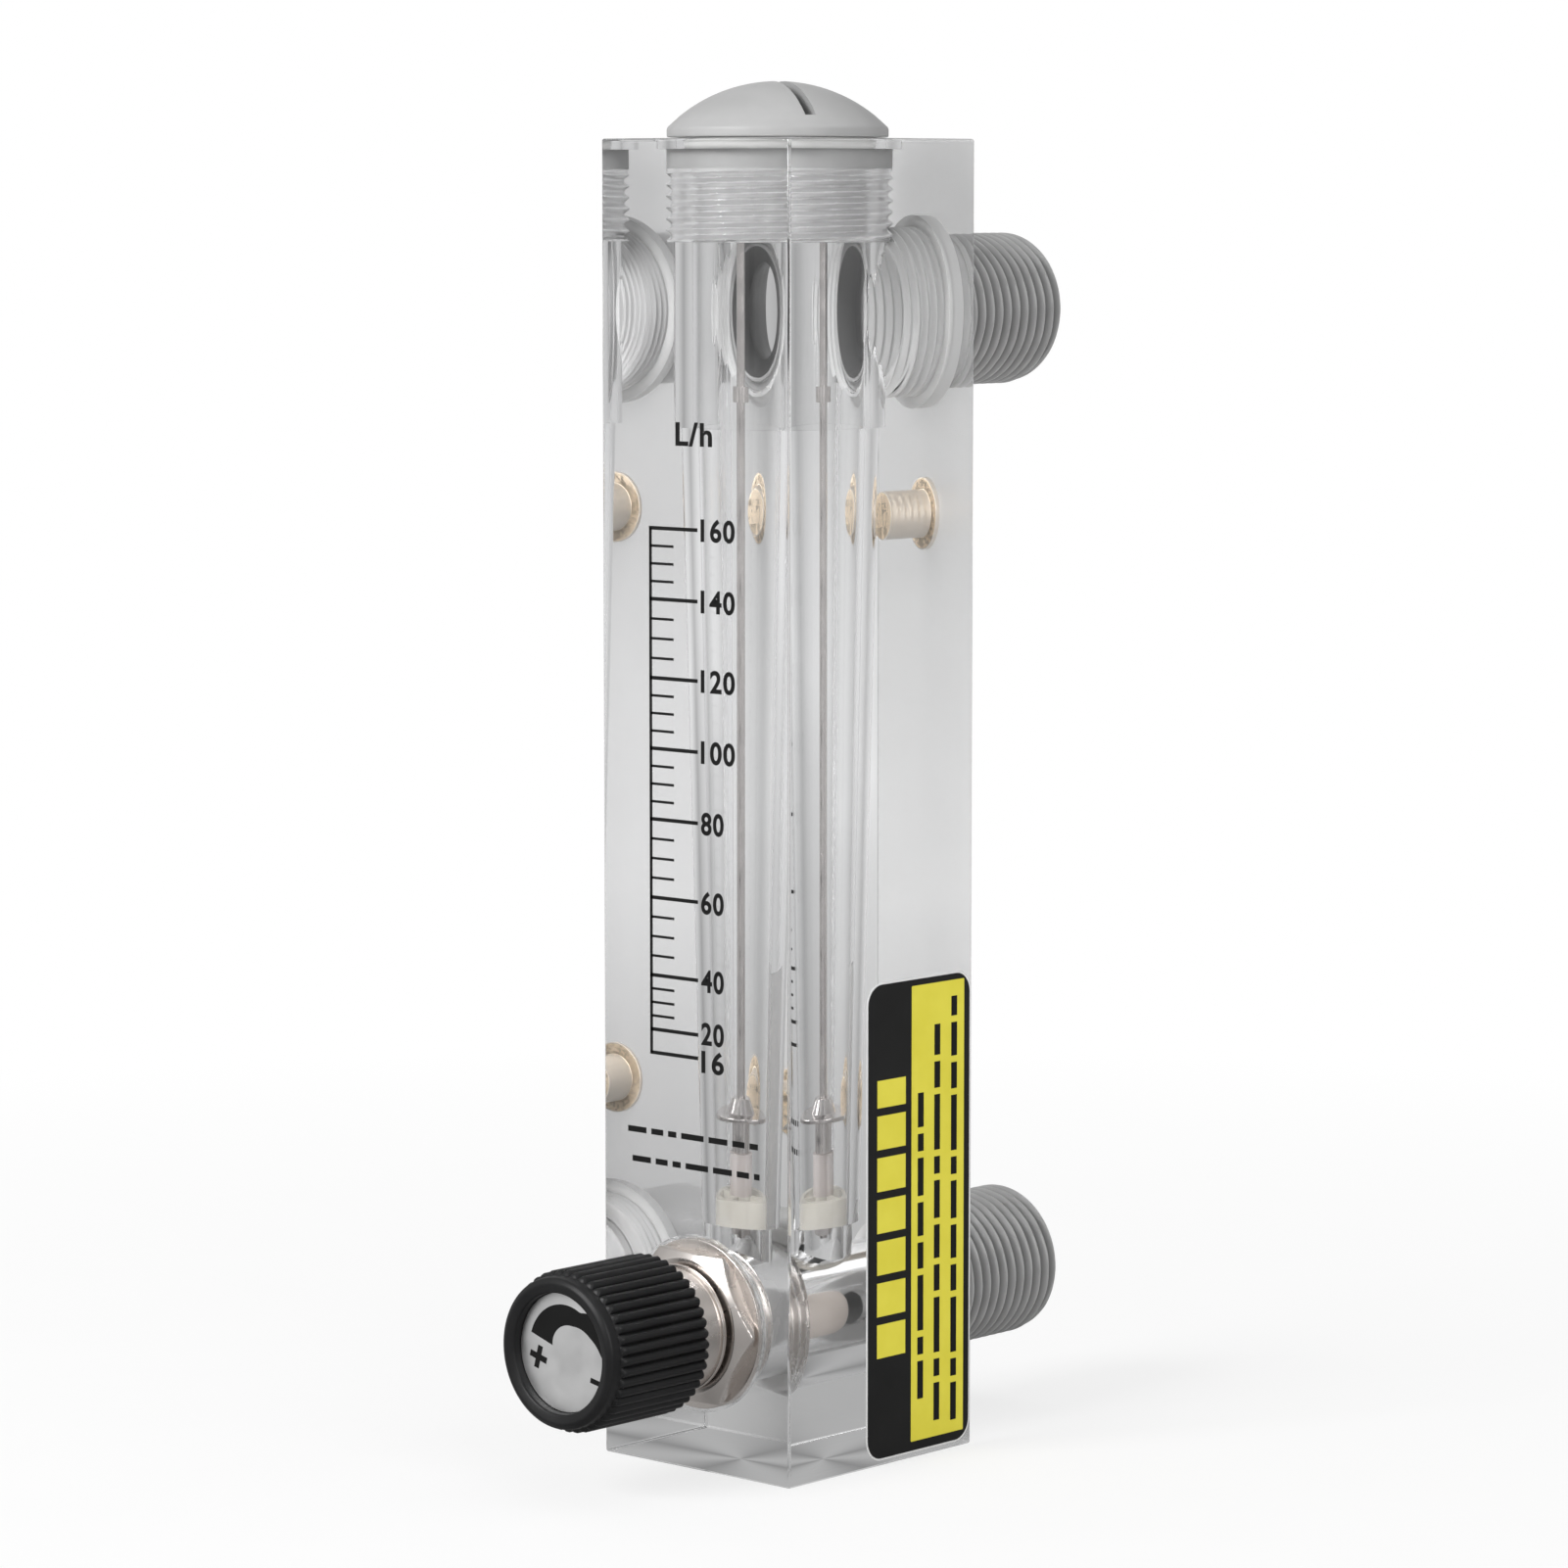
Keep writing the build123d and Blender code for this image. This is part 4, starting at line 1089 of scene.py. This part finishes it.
def lettering(text, x, z, height, width):
    """Characters of a plain font as a thin mesh on the front face: their left foot is at (x, z),
    and they are drawn out to a height and a width."""
    curve = bpy.data.curves.new("text", "FONT")
    curve.body = text
    curve.extrude = 0.01
    curve.offset = 0.028
    curve.space_character = 1.12
    curve.resolution_u = 6
    source = bpy.data.objects.new("text", curve)
    bpy.context.scene.collection.objects.link(source)
    evaluated = source.evaluated_get(bpy.context.evaluated_depsgraph_get())
    mesh = bpy.data.meshes.new_from_object(evaluated)
    bpy.data.objects.remove(source)
    flat = rows_of(mesh.vertices, "co")
    low, high = flat.min(axis=0), flat.max(axis=0)
    right, up, out = ((flat - low) / (high - low)).T
    ink = INK_DEPTH + INK_HEIGHT
    placed = np.stack([x + right * width, FRONT_Y + INK_DEPTH - out * ink, z + up * height], axis=1)
    mesh.vertices.foreach_set("co", (placed * MM).ravel())
    return mended(mesh)


number_meshes = [lettering("L/h", UNIT_X, UNIT_Z, UNIT_HEIGHT, UNIT_WIDTH)]
for number, middle_z in SCALE_HEIGHTS.items():
    text = str(number)
    foot_z = middle_z - NUMBER_HEIGHT / 2 + NUMBER_LIFTS.get(number, 0)
    number_meshes.append(lettering(text, NUMBER_X, foot_z, NUMBER_HEIGHT, DIGIT_WIDTH * len(text)))
add_piece("scale_lines", scale_lines(), INK, "meter", weighted=False)
add_piece("scale_numbers", joined(number_meshes), INK, "meter", weighted=False)


# Side label: pale film, black sheet, yellow panel, and plain bars for print
def on_side(level):
    """Right-hand plane raised by a level: u along +Y, v along +Z, w out towards +X."""
    def place(u, v, w):
        return np.stack([SIDE_X + level + w, u, v], axis=-1)
    return place


def rounded_rectangle(low, high, corner, steps=8):
    """Outline whose corners are quarter circles about points a corner radius in from each side."""
    quarter = np.linspace(0, math.pi / 2, steps + 1)
    angle = (quarter[None] + np.arange(4)[:, None] * math.pi / 2).ravel()
    signs = np.repeat([(1, 1), (-1, 1), (-1, -1), (1, -1)], steps + 1, axis=0)
    low, high = np.asarray(low, float), np.asarray(high, float)
    centre, reach = (low + high) / 2, (high - low) / 2 - corner
    return centre + signs * reach + corner * np.stack([np.cos(angle), np.sin(angle)], axis=1)


# Layers of the label, the plain print on the yellow and the patches on the black: lengths along
# a row, taken in turn, and the spaces between them. A row is (its place along Y, its foot, its top)
FILM_THICKNESS = 0.06
COAT_THICKNESS = 0.02
YELLOW_LOW = (8.1, 2.3)
YELLOW_HIGH = (19.0, 64.7)
PRINT_ROWS = [(10.0, 8.0, 50.0), (13.4, 4.5, 59.0), (16.9, 4.0, 62.5)]
PRINT_DASHES = [5.2, 2.4, 7.6, 3.6, 4.6]
PRINT_SPACE = 0.9
PRINT_WIDTH = 1.2
PATCH_ROW = (4.0, 14.8, 52.6)
PATCH_LENGTHS = [4.6]
PATCH_SPACE = 1.08
PATCH_WIDTH = 5.8


def label_layer(name, outlines, level, thickness, material, replaces=()):
    """One printed or cut layer of the label, on top of what lies up to a level."""
    layer = joined([plate_mesh(outline, on_side(level), thickness) for outline in outlines])
    add_piece(name, layer, material, "meter", replaces, weighted=False)


def label_row(row, lengths, space, width):
    """Bars along one row of the label."""
    row_y, foot, top = row
    return [bar((row_y, start + length / 2), width, length, 0)
            for start, length in dashes(foot, top, lengths, space)]


def side_label():
    """The label's layers, each a thin plate on the one below."""
    low = np.array([LABEL_FRONT_Y, LABEL_FOOT_Z])
    high = np.array([LABEL_BACK_Y, LABEL_TOP_Z])
    film = rounded_rectangle(low, high, LABEL_CORNER)
    black = rounded_rectangle(low + LABEL_BORDER, high - LABEL_BORDER, LABEL_CORNER - LABEL_BORDER)
    yellow = rounded_rectangle(YELLOW_LOW, YELLOW_HIGH, 0.15, steps=2)
    on_black = FILM_THICKNESS + COAT_THICKNESS
    on_yellow = on_black + COAT_THICKNESS
    bars = []
    for row in PRINT_ROWS:
        bars += label_row(row, PRINT_DASHES, PRINT_SPACE, PRINT_WIDTH)
    patches = label_row(PATCH_ROW, PATCH_LENGTHS, PATCH_SPACE, PATCH_WIDTH)
    label_layer("label_film", [film], 0, FILM_THICKNESS, FILM_PALE, ["side_label"])
    label_layer("label_black", [black], FILM_THICKNESS, COAT_THICKNESS, FILM_BLACK)
    label_layer("label_yellow", [yellow], on_black, COAT_THICKNESS, FILM_YELLOW)
    label_layer("label_bars", bars, on_yellow, COAT_THICKNESS, INK)
    label_layer("label_blocks", patches, on_black, COAT_THICKNESS, FILM_YELLOW)


side_label()

# Solids shown as they are, with their own finishes
for node, material in {
    "guide_rod": STEEL,
    "rod_nut": STEEL,
    "upper_float_stop": STEEL,
    "lower_float_stop": SLEEVE,
    "rod_spider": CREAM,
    "top_plug_oring": RUBBER,
    "outlet_oring": RUBBER,
    "inlet_oring": RUBBER,
    "bonnet_oring": RUBBER,
    "stem_packing": PACKING,
    "knob_screw": STEEL,
}.items():
    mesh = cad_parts[node].data
    mesh.materials.clear()
    mesh.materials.append(material)


# Floor, background and lamps. The floor's tones run from the block to its edge, the sky's from
# the horizon to overhead
FLOOR_HALF = 3.0
FLOOR_TONES = [(0.02, 0.44), (0.9, 0.64), (0.3, 0.84)]
FLOOR_WHITES = [(0.02, 0.75), (0.12, 1.0)]
SKY_TONES = [(0.0, 0.64), (0.4, 0.62)]
SKY_FILL = 0.28
SIDE_TONE = 0.6


def toned(tree, source, stops):
    """Grey that runs from tone to tone between stops, given as (place from 0 to 1, tone)."""
    ramp = tree.node("ValToRGB", {"Fac": source})
    band = ramp.color_ramp
    for index, (place, tone) in enumerate(stops):
        stop = band.elements[index] if index < 2 else band.elements.new(place)
        stop.position = place
        stop.color = grey(tone)
    return ramp.outputs["Color"]


def diagonal(tree, vector, tone):
    """The tone as it is along the diagonals, where the block's faces look through it, and darker
    square to its faces: it is multiplied by a rising share of |xy| / (x^2 + y^2)."""
    split = tree.node("SeparateXYZ", {"Vector": vector}).outputs
    x, y = split["X"], split["Y"]
    product = worked(tree, "ABSOLUTE", worked(tree, "MULTIPLY", x, y))
    squares = worked(tree, "ADD", worked(tree, "MULTIPLY", x, x), worked(tree, "MULTIPLY", y, y))
    share = worked(tree, "DIVIDE", product, squares)
    level = tree.node("MapRange", {"Value": share, "From Max": 0.5, "To Min": SIDE_TONE}).outputs["Result"]
    return tree.node("VectorMath", {0: tone, "Scale": level}, operation="SCALE").outputs["Vector"]


def floor_material():
    """Pale floor: the camera sees it white but for the shadow near the object, and the clear
    block shows it as a soft grey, brightest about a metre off."""
    material, tree = new_material("pale floor")
    place = tree.node("TexCoord").outputs["Object"]
    distance = tree.node("VectorMath", {0: place}, operation="LENGTH").outputs["Value"]
    share = worked(tree, "DIVIDE", distance, FLOOR_HALF)
    speckle = tinted(tree, grain(tree, 40), (0.80, 0.80, 0.80), (0.82, 0.82, 0.82))
    paint = tree.node("BsdfDiffuse", {"Color": speckle}).outputs["BSDF"]
    white = tree.node("Emission", {"Color": grey(1)}).outputs["Emission"]
    rings = diagonal(tree, place, toned(tree, share, FLOOR_TONES))
    soft = tree.node("Emission", {"Color": rings}).outputs["Emission"]
    path = tree.node("LightPath").outputs
    through = worked(tree, "MAXIMUM", path["Is Transmission Ray"], path["Is Glossy Ray"])
    seen = mixed(tree, toned(tree, share, FLOOR_WHITES), paint, white)
    unseen = mixed(tree, through, paint, soft)
    tree.node("OutputMaterial", {"Surface": mixed(tree, path["Is Camera Ray"], unseen, seen)})
    return material


def floor():
    """Plain square floor under the block."""
    half = FLOOR_HALF
    corners = [(-half, -half, 0), (half, -half, 0), (half, half, 0), (-half, half, 0)]
    mesh = bpy.data.meshes.new("floor")
    mesh.from_pydata(corners, [], [(0, 1, 2, 3)])
    mesh.materials.append(floor_material())
    as_object("floor", mesh)


def background():
    """White for the camera, a pale studio for what shines or is clear, and a dim fill for the
    rest."""
    world = bpy.data.worlds.new("studio")
    bpy.context.scene.world = world
    tree = Tree(world)

    def lit(colour):
        return tree.node("Background", {"Color": colour}).outputs["Background"]

    direction = tree.node("TexCoord").outputs["Generated"]
    height = tree.node("SeparateXYZ", {"Vector": direction}).outputs["Z"]
    studio = lit(diagonal(tree, direction, toned(tree, height, SKY_TONES)))
    path = tree.node("LightPath").outputs
    shown = mixed(tree, path["Is Glossy Ray"], lit(grey(SKY_FILL)), studio)
    shown = mixed(tree, path["Is Transmission Ray"], shown, studio)
    shown = mixed(tree, path["Is Camera Ray"], shown, lit(grey(1)))
    tree.node("OutputWorld", {"Surface": shown})


def lamp(name, place, aim, size, watts):
    """Square soft lamp at a place, turned to what it lights."""
    light = bpy.data.lights.new(name, "AREA")
    light.size = size
    light.energy = watts
    holder = bpy.data.objects.new(name, light)
    holder.location = place
    holder.rotation_mode = "QUATERNION"
    holder.rotation_quaternion = (Vector(aim) - Vector(place)).to_track_quat("-Z", "Y")
    bpy.context.scene.collection.objects.link(holder)


floor()
background()
MIDDLE = (0, 0, 0.09)
lamp("key", (-0.2, -1.0, 0.7), MIDDLE, 0.5, 13.0)
lamp("fill", (0.9, -0.35, 0.5), MIDDLE, 0.6, 4.5)
lamp("top", (0.1, 0.2, 1.1), MIDDLE, 0.8, 2.5)

# Camera at the photograph's viewpoint
CAMERA_PLACE = (0.50426, -0.55735, 0.17091)
CAMERA_AIM = (-0.66636, 0.73819, -0.10509)
LENS_MM = 128.61
SENSOR_MM = 36.0
camera_data = bpy.data.cameras.new("camera")
camera_data.lens = LENS_MM
camera_data.sensor_width = SENSOR_MM
camera_data.clip_start = 0.01
camera = bpy.data.objects.new("camera", camera_data)
camera.location = CAMERA_PLACE
camera.rotation_mode = "QUATERNION"
camera.rotation_quaternion = Vector(CAMERA_AIM).to_track_quat("-Z", "Y")
bpy.context.scene.collection.objects.link(camera)
bpy.context.scene.camera = camera
bpy.context.scene.view_settings.view_transform = "Standard"
